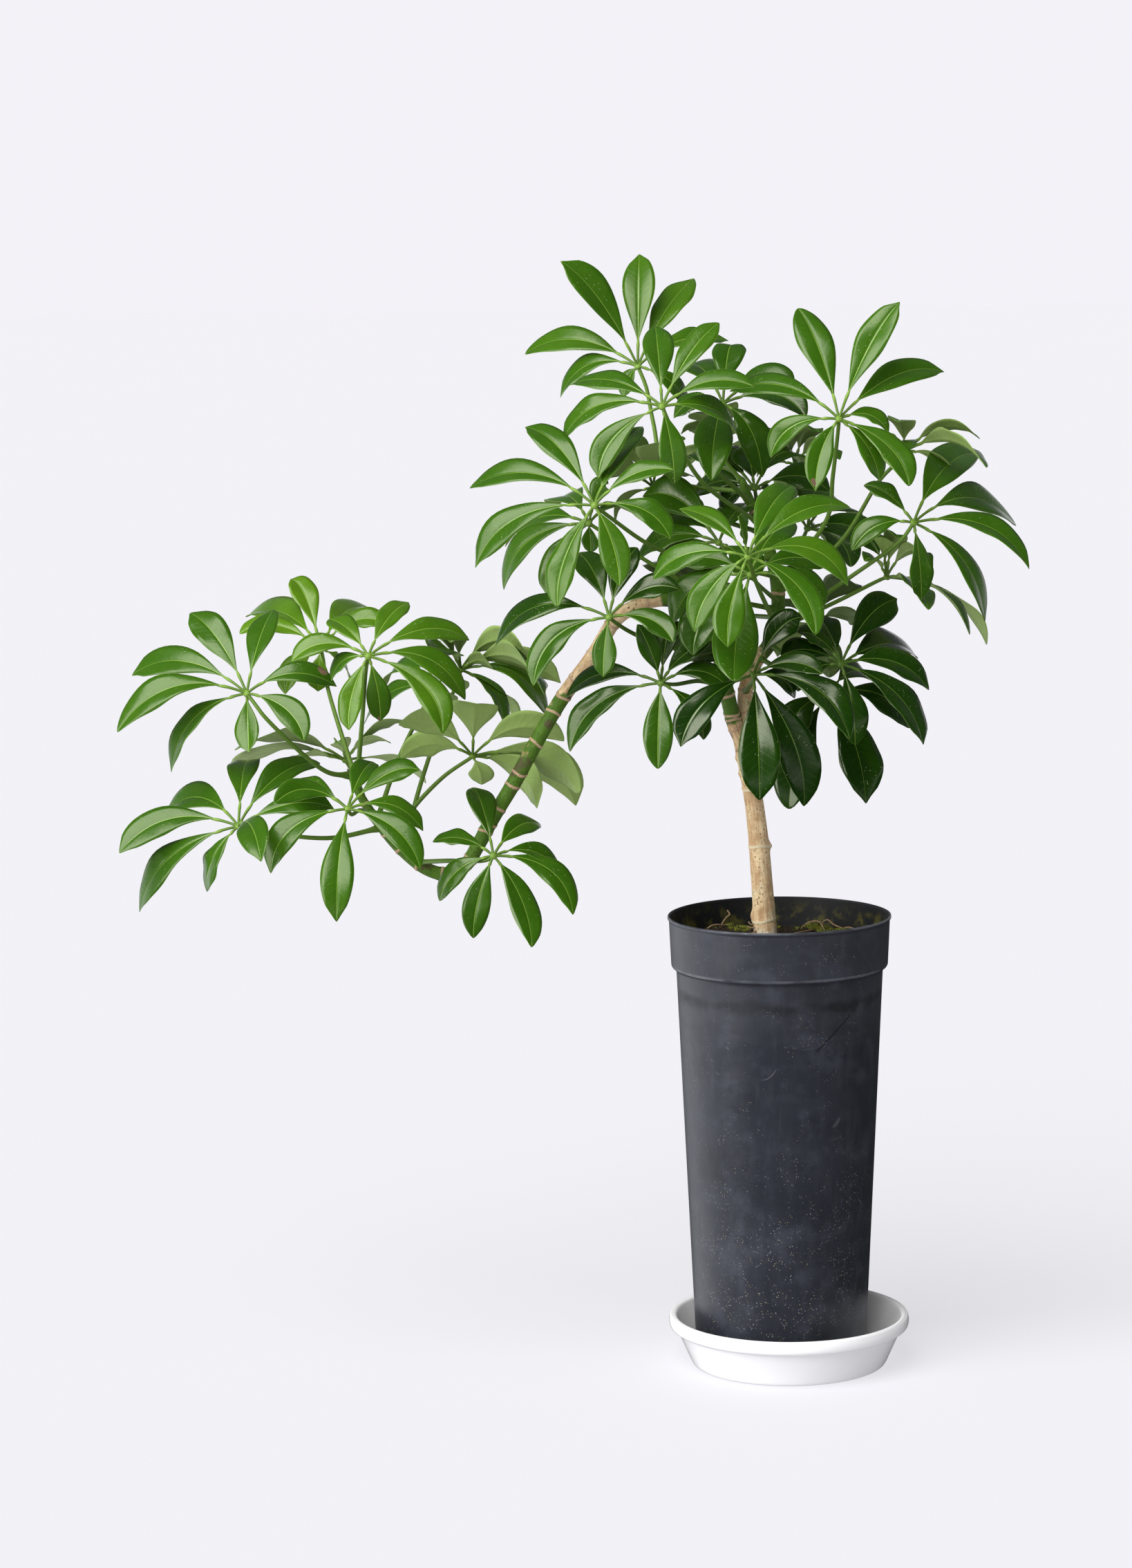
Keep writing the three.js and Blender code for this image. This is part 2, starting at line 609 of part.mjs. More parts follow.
// Every frond as its leaflets and its petiole
function readFronds() {
  return Object.entries(FRONDS).map(([name, row]) => {
    const hub = place(...row.hub);
    const face = new THREE.Vector3(...row.face).normalize();
    const leaflets = row.tips.map((tip) => ({
      hub, face, u: tip[0], v: tip[1], depth: hub.y + tipDepth(hub, face, tip), shift: 0,
    }));
    const ways = row.stalk.slice(0, -1);
    const root = place(...row.stalk[row.stalk.length - 1]);
    return { name, hub, leaflets, petiole: { hub, ways, root, shift: 0 } };
  });
}

// How close in the view two places are before they are kept apart, how far apart in depth
// they are kept in two fronds, in one frond and beside the stem, and the furthest bend
const CLEAR = {
  near: 10, between: 5.5, within: 1.2, stem: 12.5, rounds: 90, most: 45, give: 0.15,
};
const CLEAR_ALONG = [0.32, 0.45, 0.58, 0.7, 0.82, 0.94];
const PETIOLE_PLACES = 10;

// Places to keep clear of each other: across view, up view, depth and how much the place
// moves with its leaflet's or petiole's bend
function clearPlaces(fronds) {
  const places = [];
  const add = (owner, frond, point, share) => {
    const [u, v] = inPicture(point);
    places.push({ owner, frond, u, v, depth: point.y, share });
  };
  fronds.forEach((frond, number) => {
    for (const leaflet of frond.leaflets) {
      const curve = leafletCurve(leaflet);
      for (const along of CLEAR_ALONG) {
        const { middle, across, above, half } = sectionAt(leaflet, curve, along);
        for (const side of [-1, 0, 1]) {
          const point = middle.clone().addScaledVector(across, side * half)
            .addScaledVector(above, Math.abs(side) * half * LEAFLET_FOLD);
          add(leaflet, number, point, along * along);
        }
      }
    }
    const route = new THREE.CatmullRomCurve3(petiolePoints(frond.petiole), false, 'centripetal');
    for (let step = 1; step < PETIOLE_PLACES; step++) {
      const along = step / PETIOLE_PLACES;
      add(frond.petiole, number, route.getPointAt(along), Math.sin(Math.PI * along));
    }
  });
  for (const rows of Object.values(STEM)) {
    const owner = { shift: 0 };
    const route = new THREE.CatmullRomCurve3(rows.map(([u, v, depth]) => place(u, v, depth)));
    for (let step = 0; step <= rows.length * 3; step++) {
      add(owner, -1, route.getPoint(step / (rows.length * 3)), 0);
    }
  }
  return places;
}

// Bends leaflets and petioles in depth until none passes through another. Which of two is
// in front is settled by where most of them lies at first.
function bendClear(fronds) {
  const places = clearPlaces(fronds);
  const scale = VIEW.focal / -VIEW.eye.y;
  const meetings = new Map();
  for (let i = 0; i < places.length; i++) {
    for (let j = i + 1; j < places.length; j++) {
      const one = places[i];
      const other = places[j];
      if (one.owner === other.owner) {
        continue;
      }
      if (Math.hypot(one.u - other.u, one.v - other.v) < CLEAR.near * scale) {
        if (!meetings.has(one.owner)) {
          meetings.set(one.owner, new Map());
        }
        const withOne = meetings.get(one.owner);
        if (!withOne.has(other.owner)) {
          withOne.set(other.owner, []);
        }
        withOne.get(other.owner).push([one, other]);
      }
    }
  }
  const pairs = [];
  for (const withOne of meetings.values()) {
    for (const met of withOne.values()) {
      const mean = met.reduce((sum, [one, other]) => sum + one.depth - other.depth, 0);
      const same = met[0][0].frond === met[0][1].frond;
      const byStem = met[0][1].frond === -1;
      const room = byStem ? CLEAR.stem : (same ? CLEAR.within : CLEAR.between);
      pairs.push({ met, side: mean < 0 ? -1 : 1, room });
    }
  }
  for (let round = 0; round < CLEAR.rounds; round++) {
    for (const { met, side, room } of pairs) {
      let worst = 0;
      let at = null;
      for (const [one, other] of met) {
        const gap = side * (one.depth + one.share * one.owner.shift
          - other.depth - other.share * other.owner.shift) - room;
        if (gap < worst) {
          worst = gap;
          at = [one, other];
        }
      }
      if (at) {
        const [one, other] = at;
        const push = -side * worst * 0.5 / (one.share ** 2 + other.share ** 2 + CLEAR.give);
        one.owner.shift = THREE.MathUtils.clamp(
          one.owner.shift + push * one.share, -CLEAR.most, CLEAR.most);
        other.owner.shift = THREE.MathUtils.clamp(
          other.owner.shift - push * other.share, -CLEAR.most, CLEAR.most);
      }
    }
  }
}

function frondSolid(frond, clearOf) {
  const hub = new THREE.OctahedronGeometry(HUB_RADIUS);
  hub.translate(...frond.hub.toArray());
  const middle = (PETIOLE_TOP_RADIUS + PETIOLE_FOOT_RADIUS) / 2;
  const petiole = bar(
    petiolePoints(frond.petiole),
    [PETIOLE_TOP_RADIUS, middle, PETIOLE_FOOT_RADIUS],
    PETIOLE_SIDES,
    PETIOLE_STEPS,
  );
  return join([solidOf(hub), petiole, ...frond.leaflets.map(leafletSolid)]).subtract(clearOf);
}

function meshOf(name, solid, finish) {
  const mesh = new THREE.Mesh(geometryOf(solid), new THREE.MeshStandardMaterial(finish));
  mesh.name = name;
  return mesh;
}

function buildPlant() {
  const plant = new THREE.Group();
  plant.name = 'potted_umbrella_plant';
  plant.add(meshOf('saucer', saucer(), FINISH.saucer));
  plant.add(meshOf('pot', pot(), FINISH.pot));
  plant.add(meshOf('soil', soil(), FINISH.soil));
  plant.add(meshOf('stem', stem(), FINISH.bark));
  const fronds = readFronds();
  bendClear(fronds);
  const stemRoom = stem(STEM_GAP);
  for (const frond of fronds) {
    plant.add(meshOf(frond.name, frondSolid(frond, stemRoom), FINISH.leaf));
  }
  return plant;
}

export default buildPlant();
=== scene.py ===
import math
import random

import bpy
import numpy as np
from mathutils import Matrix, kdtree


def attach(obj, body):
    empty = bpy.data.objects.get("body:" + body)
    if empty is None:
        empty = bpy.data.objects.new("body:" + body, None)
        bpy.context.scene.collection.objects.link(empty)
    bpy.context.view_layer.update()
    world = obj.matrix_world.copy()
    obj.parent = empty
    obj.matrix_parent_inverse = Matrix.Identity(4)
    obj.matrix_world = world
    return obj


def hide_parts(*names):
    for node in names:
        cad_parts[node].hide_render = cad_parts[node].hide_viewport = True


# A potted umbrella plant: fine fronds, stem, soil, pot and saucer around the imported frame.
# Metres, +Z up. The origin is the middle of the saucer's underside, and the front faces -Y.

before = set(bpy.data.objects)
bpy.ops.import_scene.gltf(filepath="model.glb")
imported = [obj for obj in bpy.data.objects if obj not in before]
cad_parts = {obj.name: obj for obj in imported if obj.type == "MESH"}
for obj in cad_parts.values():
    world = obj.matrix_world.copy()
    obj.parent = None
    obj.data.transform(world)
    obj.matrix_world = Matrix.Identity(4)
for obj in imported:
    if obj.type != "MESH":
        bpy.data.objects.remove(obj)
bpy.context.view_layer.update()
bpy.ops.object.select_all(action="DESELECT")

# The camera that the plant was measured with. A place in its picture is u to the right and
# v down, in pixels of a picture 2268 high, and a depth behind the saucer's middle.
PICTURE_HEIGHT = 2268
MIDDLE_U = 819
MIDDLE_V = 1134
FOCAL = 6264
SENSOR = 36
EYE = np.array((-0.1767, -3.448, 0.957))
PITCH = math.radians(7.9)
ROLL = math.radians(-0.727)
SIDEWAYS = np.array((1.0, 0.0, 0.0))
WORLD_UP = np.array((0.0, 0.0, 1.0))
AHEAD = np.array((0.0, math.cos(PITCH), -math.sin(PITCH)))
OVERHEAD = np.array((0.0, math.sin(PITCH), math.cos(PITCH)))
ACROSS_VIEW = math.cos(ROLL) * SIDEWAYS + math.sin(ROLL) * OVERHEAD
UP_VIEW = math.cos(ROLL) * OVERHEAD - math.sin(ROLL) * SIDEWAYS


def place(u, v, depth):
    """The point that the picture shows at (u, v), at that depth"""
    ray = AHEAD * FOCAL + ACROSS_VIEW * (u - MIDDLE_U) + UP_VIEW * (MIDDLE_V - v)
    return EYE + ray * (depth - EYE[1]) / ray[1]


def in_picture(points):
    """Where points show in the picture"""
    rays = points - EYE
    far = rays @ AHEAD
    return np.stack((
        MIDDLE_U + FOCAL * (rays @ ACROSS_VIEW) / far,
        MIDDLE_V - FOCAL * (rays @ UP_VIEW) / far,
    ), axis=-1)


# The fronds. Each row has the hub, where the leaflets meet; the way that the upper side looks;
# how green it is, from 0 for the darkest kind, whose green holds painted shade of the crown's
# inside over older leaves' own darker colour, to 1 for young and yellow-green, whose undersides
# hold painted light; and how broad its leaflets are, since the older ones inside the crown are
# broader. Then come the leaflets' tips as picture places, with a depth from the hub where the
# rule for it doesn't serve, the petiole's course from the hub and its root on the stem.
FRONDS = {
    "frond_top_left": (
        (923, 530, 0.06), (-0.2, -0.7, 0.65), 0.56, 1,
        [(811, 378), (925, 368), (1004, 403), (1054, 493), (760, 512), (811, 575), (903, 575),
         (998, 597)],
        [(935, 560), (945, 610), (968, 690)], (1080, 712, 0.01)),
    "frond_top_front": (
        (958, 588, -0.095), (0, -0.9, 0.4), 0.52, 1,
        [(948, 472), (1040, 467), (1092, 560), (1066, 628), (976, 700), (866, 692), (815, 637),
         (825, 557)],
        [(972, 620), (1010, 690)], (1099, 758, 0.009)),
    "frond_left_upper": (
        (860, 731, -0.12), (-0.2, -0.9, 0.35), 0.52, 1,
        [(760, 618), (680, 706), (688, 821), (807, 878), (896, 848), (970, 780), (975, 680),
         (928, 617)],
        [(885, 750), (940, 788), (1010, 815)], (1122, 832, 0.008)),
    "frond_left_under": (
        (852, 757, -0.05), (-0.35, -0.6, 0.7), 0.5, 1,
        [(731, 791), (729, 853), (791, 860), (803, 735), (855, 800), (880, 700, 0.07),
         (920, 745, 0.06)],
        [(880, 775), (950, 820), (1030, 860)], (1125, 882, 0.008)),
    "frond_low_left": (
        (881, 893, -0.12), (-0.1, -0.85, 0.5), 0.3, 1.05,
        [(717, 934), (772, 992), (873, 979), (974, 929), (984, 853), (836, 800), (922, 792)],
        [(890, 900), (910, 913), (950, 930)], (1041, 948, -0.01)),
    "frond_low_front": (
        (956, 988, -0.1), (-0.1, -0.9, 0.45), 0.25, 1,
        [(819, 1009), (825, 1087), (952, 1112), (1018, 1070), (1056, 998), (1028, 928),
         (972, 893), (922, 903, -0.015)],
        [(975, 990), (1010, 985)], (1050, 995, -0.007)),
    "frond_low_middle": (
        (1090, 976, -0.1), (0, -0.7, 0.7), 0.12, 1.1,
        [(1099, 1157), (1163, 1166), (1229, 1069), (1190, 975), (1160, 893), (985, 1080),
         (998, 957), (1150, 1010)],
        [(1090, 985), (1086, 990)], (1079, 1000, 0.005)),
    "frond_low_right": (
        (1217, 961, -0.07), (0.3, -0.75, 0.6), 0.1, 1.1,
        [(1298, 866), (1327, 952), (1344, 998), (1336, 1077), (1237, 1077), (1155, 1000),
         (1130, 949), (1153, 915), (1178, 888)],
        [(1205, 965), (1160, 960)], (1112, 931, 0.008)),
    "frond_low_right_under": (
        (1200, 1003, -0.015), (0.1, -0.6, 0.8), 0.1, 1.25,
        [(1142, 1170), (1253, 1162), (1316, 1053), (1135, 1080), (1262, 985), (1140, 975)],
        [(1185, 1000), (1140, 975)], (1098, 951, 0.008)),
    "frond_middle_front": (
        (1082, 805, -0.15), (0.1, -0.9, 0.4), 0.62, 1,
        [(983, 736), (1148, 703), (1231, 735), (1227, 848), (1180, 918), (1053, 936), (1005, 914),
         (945, 838), (1068, 747, -0.025)],
        [(1094, 842), (1108, 874)], (1122, 904, 0.008)),
    "frond_middle_under": (
        (1085, 832, -0.08), (0, -0.85, 0.5), 0.4, 1.25,
        [(1062, 985), (1003, 948), (973, 903), (985, 818), (1190, 877), (1200, 820), (1147, 752)],
        [(1098, 846)], (1125, 870, 0.008)),
    "frond_right_upper": (
        (1214, 606, -0.07), (0.15, -0.8, 0.55), 0.52, 1,
        [(1155, 446), (1302, 437), (1366, 538), (1286, 628), (1315, 703), (1272, 694),
         (1180, 710), (1115, 662), (1056, 566)],
        [(1213, 620), (1205, 690), (1197, 750)], (1124, 846, 0.008)),
    "frond_top_middle": (
        (1046, 584, -0.01), (0, -0.55, 0.8), 0.35, 1.2,
        [(1060, 500), (990, 533), (1030, 695), (1103, 690), (1165, 603), (1150, 556), (975, 605)],
        [(1035, 600), (1018, 650)], (1086, 728, 0.01)),
    "frond_middle_back": (
        (1092, 707, 0.025), (0, -0.4, 0.9), 0.2, 1.4,
        [(1077, 645, 0.045), (998, 664), (1000, 722), (1043, 742), (1165, 675), (1200, 711),
         (1130, 735)],
        [(1094, 720), (1096, 745)], (1093, 744, 0.009)),
    "frond_right_back": (
        (1168, 765, 0.06), (0.3, -0.4, 0.85), 0.25, 1.35,
        [(1205, 795), (1237, 757), (1231, 820), (1272, 803), (1130, 750), (1185, 700, 0.055)],
        [(1162, 778), (1145, 800)], (1119, 818, 0.008)),
    "frond_right": (
        (1322, 756, -0.055), (0.4, -0.8, 0.4), 0.44, 1,
        [(1412, 655), (1470, 759), (1489, 823), (1425, 900), (1333, 867), (1233, 796),
         (1250, 702)],
        [(1305, 780), (1230, 835), (1180, 870)], (1116, 922, 0.008)),
    "frond_right_side": (
        (1310, 653, 0.01), (0.35, 0.55, 0.75), 0.5, 1,
        [(1418, 635), (1427, 676), (1375, 698), (1298, 665, -0.06), (1262, 640), (1300, 610)],
        [(1305, 662), (1275, 692), (1215, 785)], (1125, 858, 0.008)),
    "frond_right_low_back": (
        (1283, 835, 0.04), (0.5, 0.4, 0.75), 0.5, 1,
        [(1251, 812), (1403, 918), (1427, 932), (1343, 882), (1300, 778), (1268, 778),
         (1350, 820)],
        [(1275, 838), (1215, 868)], (1119, 913, 0.008)),
    "frond_back_left": (
        (945, 705, 0.06), (-0.3, 0.6, 0.75), 0.4, 1.25,
        [(863, 700), (900, 650), (963, 640), (1005, 690), (960, 770), (890, 760)],
        [(960, 715), (1010, 740)], (1105, 772, 0.008)),
    "frond_back_top": (
        (1040, 650, 0.105), (0, 0.6, 0.8), 0.4, 1.35,
        [(985, 628), (1030, 600), (1095, 620), (1105, 665), (1040, 715), (985, 680)],
        [(1043, 656), (1050, 668)], (1074, 697, 0.01)),
    "frond_back_right": (
        (1150, 672, 0.13), (0.3, 0.55, 0.8), 0.35, 1.35,
        [(1120, 625), (1185, 625), (1215, 665), (1190, 720), (1135, 730), (1095, 690)],
        [(1145, 690), (1125, 740)], (1110, 788, 0.008)),
    "frond_left_inner": (
        (1040, 785, -0.02), (-0.4, -0.6, 0.6), 0.45, 1.4,
        [(930, 718), (958, 747), (922, 815), (962, 845), (1085, 728, 0.04), (1090, 840)],
        [(1050, 795), (1080, 815)], (1115, 804, 0.008)),
    "frond_back_low": (
        (1010, 880, 0.09), (-0.3, 0.6, 0.75), 0.15, 1.35,
        [(925, 870), (950, 815), (1030, 800), (1075, 850), (1060, 930), (980, 945)],
        [(1030, 885), (1080, 890)], (1124, 893, 0.008)),
    "frond_back_low_right": (
        (1180, 900, 0.118), (0.4, 0.6, 0.7), 0.15, 1.35,
        [(1120, 870), (1165, 820, 0.04), (1245, 850), (1255, 920), (1200, 980), (1125, 950)],
        [(1165, 905), (1145, 915)], (1106, 940, 0.008)),
    "cluster_far_left": (
        (357, 1003, -0.04), (-0.35, -0.8, 0.45), 0.5, 1,
        [(275, 887), (395, 882), (191, 977), (170, 1059), (248, 1117), (360, 1088), (440, 1072),
         (487, 993)],
        [(370, 1020), (383, 1037), (470, 1115)], (507, 1122, 0.004)),
    "cluster_top_back": (
        (464, 937, 0.05), (0, -0.6, 0.8), 0.86, 1,
        [(420, 838), (358, 892), (347, 917), (413, 1004), (460, 1000), (535, 880), (565, 907),
         (505, 985)],
        [(467, 950), (473, 990)], (524, 1155, 0.002)),
    "cluster_top_front": (
        (533, 949, -0.07), (0, -0.9, 0.45), 0.64, 1,
        [(475, 896), (591, 871), (679, 926), (673, 1012), (640, 1061), (550, 1043), (505, 1056),
         (422, 957), (480, 985)],
        [(530, 965), (525, 1030)], (516, 1140, 0.003)),
    "cluster_low_front": (
        (503, 1170, -0.075), (0, -0.75, 0.65), 0.5, 1,
        [(540, 1102), (607, 1114), (612, 1202), (608, 1257), (487, 1333), (392, 1263),
         (397, 1163), (411, 1143)],
        [(508, 1178), (520, 1172)], (540, 1180, 0.001)),
    "cluster_low_left": (
        (345, 1195, -0.045), (-0.3, -0.6, 0.7), 0.48, 1,
        [(360, 1102), (463, 1104), (483, 1170), (378, 1246, -0.08), (299, 1289), (202, 1319),
         (173, 1234), (239, 1178)],
        [(355, 1203), (400, 1207), (480, 1212)], (553, 1197, 0)),
    "cluster_low_right": (
        (714, 1238, -0.06), (0.2, -0.85, 0.45), 0.36, 1,
        [(686, 1139), (782, 1192), (811, 1262), (829, 1323), (769, 1370), (685, 1357),
         (636, 1303), (626, 1218)],
        [(705, 1244), (650, 1245)], (604, 1247, 0)),
    "cluster_right_under": (
        (684, 1094, 0.025), (0.1, 0.6, 0.75), 0.5, 1.3,
        [(690, 1018), (816, 1072), (837, 1148), (833, 1165), (777, 1169), (697, 1135),
         (577, 1048), (580, 1097)],
        [(680, 1097), (640, 1125), (590, 1180)], (574, 1222, 0)),
    "cluster_back": (
        (500, 1100, 0.055), (-0.1, 0.7, 0.7), 0.9, 1.2,
        [(333, 1114), (392, 1127), (340, 1085), (487, 1075), (566, 1075), (616, 1133),
         (600, 1050)],
        [(503, 1105), (515, 1125)], (531, 1167, 0.002)),
    "cluster_inner_back": (
        (627, 993, 0.02), (-0.3, -0.3, 0.9), 0.5, 1.15,
        [(527, 1047), (645, 1028), (672, 1000), (553, 1000), (600, 965)],
        [(620, 1010), (605, 1038), (577, 1097)], (545, 1188, 0)),
    "cluster_right_back": (
        (667, 969, 0.062), (0.4, 0.3, 0.85), 0.6, 1.1,
        [(612, 922), (652, 930), (627, 950), (715, 969, -0.04), (768, 958), (811, 988),
         (788, 1005), (747, 1055), (794, 1040), (728, 1047)],
        [(662, 985), (633, 1060), (600, 1165)], (588, 1236, 0)),
}

# Fronds, and single leaflets by number, whose blades look another way than the frond does
BLADE_FACES = {
    "frond_right_low_back": (0.45, 0.1, 0.9), "cluster_back": (-0.1, 0.45, 0.9),
    "cluster_right_back": (0.5, 0.6, 0.6), "cluster_right_under": (0.1, 0.8, 0.6),
}
BLADE_FACES.update({("cluster_right_back", number): (0.2, -0.3, 0.95) for number in (7, 8, 9)})

# Dry brown places: the frond, the leaflet's number, how far across from -1 to 1, and how
# far along the blade
DRY_PLACES = {
    ("cluster_top_front", 5): (0.35, 0.97),
    ("cluster_far_left", 7): (-0.75, 0.8),
    ("frond_right_upper", 6): (0.3, 0.9),
}

# The stem's three stretches: u, v, depth, radius and how green the skin is
STEM = {
    "trunk": [
        (1114, 1399, 0, 0.0099, 0), (1109, 1362, 0, 0.0095, 0), (1104, 1297, 0, 0.0088, 0),
        (1098, 1220, 0, 0.0084, 0), (1091, 1160, 0, 0.0078, 0), (1084, 1120, 0, 0.0075, 0),
        (1072, 1062, 0, 0.0072, 0.1),
    ],
    "crown": [
        (1076, 1082, 0, 0.0055, 0.1), (1079, 1040, 0.003, 0.0062, 0.15),
        (1078, 1005, 0.005, 0.0061, 0.25), (1084, 980, 0.006, 0.006, 0.35),
        (1095, 955, 0.008, 0.0059, 0.45), (1112, 933, 0.008, 0.0058, 0.6),
        (1125, 890, 0.008, 0.0056, 0.85), (1123, 835, 0.008, 0.0052, 0.95),
        (1106, 775, 0.008, 0.0048, 1), (1084, 722, 0.01, 0.0042, 1),
        (1072, 690, 0.01, 0.003, 1),
    ],
    "branch": [
        (1076, 1082, 0, 0.0055, 0.2), (1063, 1048, -0.002, 0.0064, 0.6),
        (1056, 1020, -0.005, 0.0063, 0.75), (1048, 985, -0.008, 0.0062, 0.8),
        (1041, 948, -0.01, 0.0061, 0.7), (1024, 908, -0.012, 0.006, 0.6),
        (1000, 884, -0.014, 0.006, 0.5), (972, 868, -0.016, 0.006, 0.35),
        (942, 869, -0.018, 0.006, 0.15), (912, 881, -0.02, 0.0061, 0.1),
        (892, 895, -0.02, 0.0062, 0.1), (857, 950, -0.02, 0.0062, 0.62),
        (812, 1012, -0.016, 0.0062, 0.62), (775, 1075, -0.012, 0.0062, 0.62),
        (745, 1130, -0.008, 0.0062, 0.85), (712, 1185, -0.004, 0.0061, 0.92),
        (691, 1224, -0.002, 0.006, 0.85), (672, 1253, 0, 0.0058, 0.85),
        (645, 1264, 0, 0.0056, 0.9), (618, 1257, 0, 0.0054, 0.92),
        (580, 1228, 0, 0.0048, 1), (552, 1196, 0, 0.0042, 1), (524, 1155, 0.002, 0.0036, 1),
        (502, 1110, 0.004, 0.0026, 1),
    ],
}
# Where old leaves have left a ring on the stem, as picture places
RING_SCARS = {
    "trunk": [(1107, 1330), (1099, 1224), (1088, 1140)],
    "crown": [(1079, 1030), (1080, 1000), (1100, 948), (1122, 905), (1124, 860), (1118, 815),
              (1106, 775), (1092, 740)],
    "branch": [(1060, 1056), (1058, 1042), (1056, 1033), (1052, 1005), (1044, 965), (985, 874),
               (935, 871), (885, 905), (851, 941), (823, 980), (813, 1006), (798, 1030),
               (776, 1074), (751, 1117), (735, 1134), (718, 1162), (706, 1190), (701, 1204),
               (681, 1240), (660, 1262), (637, 1262), (606, 1250), (580, 1228), (560, 1205),
               (540, 1180), (528, 1162)],
}
# Knots and sprung roots on the stem: picture place, how far they stand out and their reach
KNOTS = [
    (1116, 1222, 0.0022, 0.0035), (1068, 1120, 0.0016, 0.0028), (1065, 1097, 0.0015, 0.0028),
    (1087, 1325, 0.0024, 0.0045), (784, 1040, 0.0012, 0.003), (1100, 1285, 0.0008, 0.003),
]

# Leaflet sizes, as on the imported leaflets, with the round outline and the fold of real ones
LEAFLET_REACH = 0.104
LEAFLET_DROOP = 0.2
LEAFLET_STALK = 0.165
HANGING_STALK_CUT = 0.55
LEAFLET_ARCH = 0.33
LEAFLET_ARCH_FALL = 0.55
LEAFLET_UP_LEAN = 0.9
LEAFLET_FRONT_LEAN = 1.2
LEVEL_FACE = 0.45
LEAFLET_LEAST_HALF_WIDTH = 0.0058
LEAFLET_WIDENING = 0.075
LEAFLET_HANGING_WIDTH = 0.05
LEAFLET_UNEVENNESS = 0.06
# How the leaflets differ: the range that each trait of a leaflet is drawn from, in this order
LEAFLET_TRAITS = {
    "arch": (0.8, 1.2), "knee": (0.48, 0.56), "twist": (-0.25, 0.25), "widest": (1.2, 1.55),
    "taper": (0.82, 1.05), "blunt": (0.5, 0.68), "point": (0.1, 0.6), "hook": (0.005, 0.05),
    "width": (0.95, 1.07), "waves": (1.3, 2.6), "phase": (0, 1), "fold": (0.12, 0.34),
    "curl": (0.0, 0.10), "wave": (0.03, 0.11), "uneven": (-1, 1), "tone": (-0.1, 0.1),
}
LEAFLET_SEED = 7
LEAF_COLUMNS = 10
LEAF_ROWS = 20
COLUMN_CROWDING = 1.45
ROW_CROWDING = 1.3
BLADE_END = 0.9985
POINT_START = 0.86
TIP_WIDTH_SHARE = 0.03
BLADE_THICKNESS = 0.0005
EDGE_THINNING = 0.45
THINNING_HALF_WIDTH = 0.002
NERVE_HALF_WIDTH = 0.01
GROOVE_DEPTH = 0.0003
RIB_DEPTH = 0.0008
RIB_FADE = 0.75
FOLD_EASING = 5
WAVE_SIDE_SHIFT = 0.35
HOOK_REACH = 6
# Side veins: how far they slant for each step out, and millimetres from one to the next
VEIN_SLANT = 0.85
VEIN_GAP = 7.2
# Dry places: their reach, in shares of the half width and of the length
DRY_ACROSS = 0.5
DRY_ALONG = 0.07
# What a stalk is marked with where a blade has millimetres from its rib or its edge
FAR_OFF = 20

# Leaflet stalks. A pair says where along the stalk something starts and is complete.
STALK_STEPS = 8
STALK_SIDES = 8
STALK_RADIUS = 0.0011
STALK_JOINT_RADIUS = 0.0014
STALK_TUCK = 0.07
STALK_SINK = 0.0006
STALK_SINKS = (0.6, 0.9)
JOINT_SWELL = (0.45, 0.75)
JOINT_TAPER = 0.75
JOINT_END = (0.75, 1.0)
JOINT_COLOUR = (0.45, 0.8)
HUB_RADIUS = 0.0031
HUB_FLATTENING = 0.35
HUB_JOINT_COLOUR = 0.6
PETIOLE_HUB_RADIUS = 0.0015
PETIOLE_ROOT_RADIUS = 0.0021
PETIOLE_SHEATH_RADIUS = 0.0034
# Where the sheath starts to narrow and has ended, from the root
PETIOLE_SHEATH = (0.002, 0.013)
PETIOLE_SIDES = 10
PETIOLE_STEPS = 26
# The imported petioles: their middle rings' radii and corners, and the bends they may have
PACKED_RINGS = (0.0017, 0.0019, 0.0021)
PACKED_RING_CORNERS = 4
PETIOLE_BENDS = np.arange(-0.045, 0.0451, 0.0005)

# The stem's bars and the ring scars on them
STEM_STEPS = 220
STEM_SIDES = 24
STEM_VOXEL = 0.0012
STEM_SMOOTHING = 6
# Crown stem and branch round off to a point over their last steps
STEM_TIP_STEPS = 4
STEM_TIP_LEAST = 0.05
# The bark's grain starts at another place on each stretch
STRETCH_SHIFT = 0.4
SCAR_REACH = 0.0012
SCAR_LIMIT = 3
SCAR_HEIGHT = 0.0006
SCAR_TILT = 0.0011
SCAR_WAVER = 0.0004

# The pot, which stands a little left of the saucer's middle
POT_X = -0.0065
POT_RIM_RADIUS = 0.09
POT_TOP = 0.37
POT_LIP = 0.0022
POT_COLLAR_FOOT = 0.33
POT_COLLAR_FOOT_RADIUS = 0.0872
POT_BODY_TOP_RADIUS = 0.0832
POT_FOOT = 0.0033
POT_FOOT_RADIUS = 0.0688
POT_FOOT_RING = 0.008
POT_FOOT_RISE = 0.003
POT_FLOOR = 0.0024
POT_WALL = 0.0018
DRAIN_HOLES = 5
DRAIN_RADIUS = 0.006
DRAIN_CIRCLE = 0.044
DRILL_LENGTH = 0.02
DRILL_SIDES = 32
POT_UNDERSIDE = POT_FOOT + POT_FOOT_RISE
POT_FLOOR_TOP = POT_UNDERSIDE + POT_FLOOR
COLLAR_INNER_FOOT = POT_COLLAR_FOOT + 0.0034
BODY_INNER_TOP = POT_COLLAR_FOOT - 0.0014
# The pot is out of round and leans a little above its stiff foot
POT_STIFF_HEIGHT = 0.05
POT_LEAN = np.array((0.0004, 0.0003))
# Heights of the water lines under the collar
WATER_LINE = POT_COLLAR_FOOT - 0.023
LOWER_WATER_LINE = POT_COLLAR_FOOT - 0.041

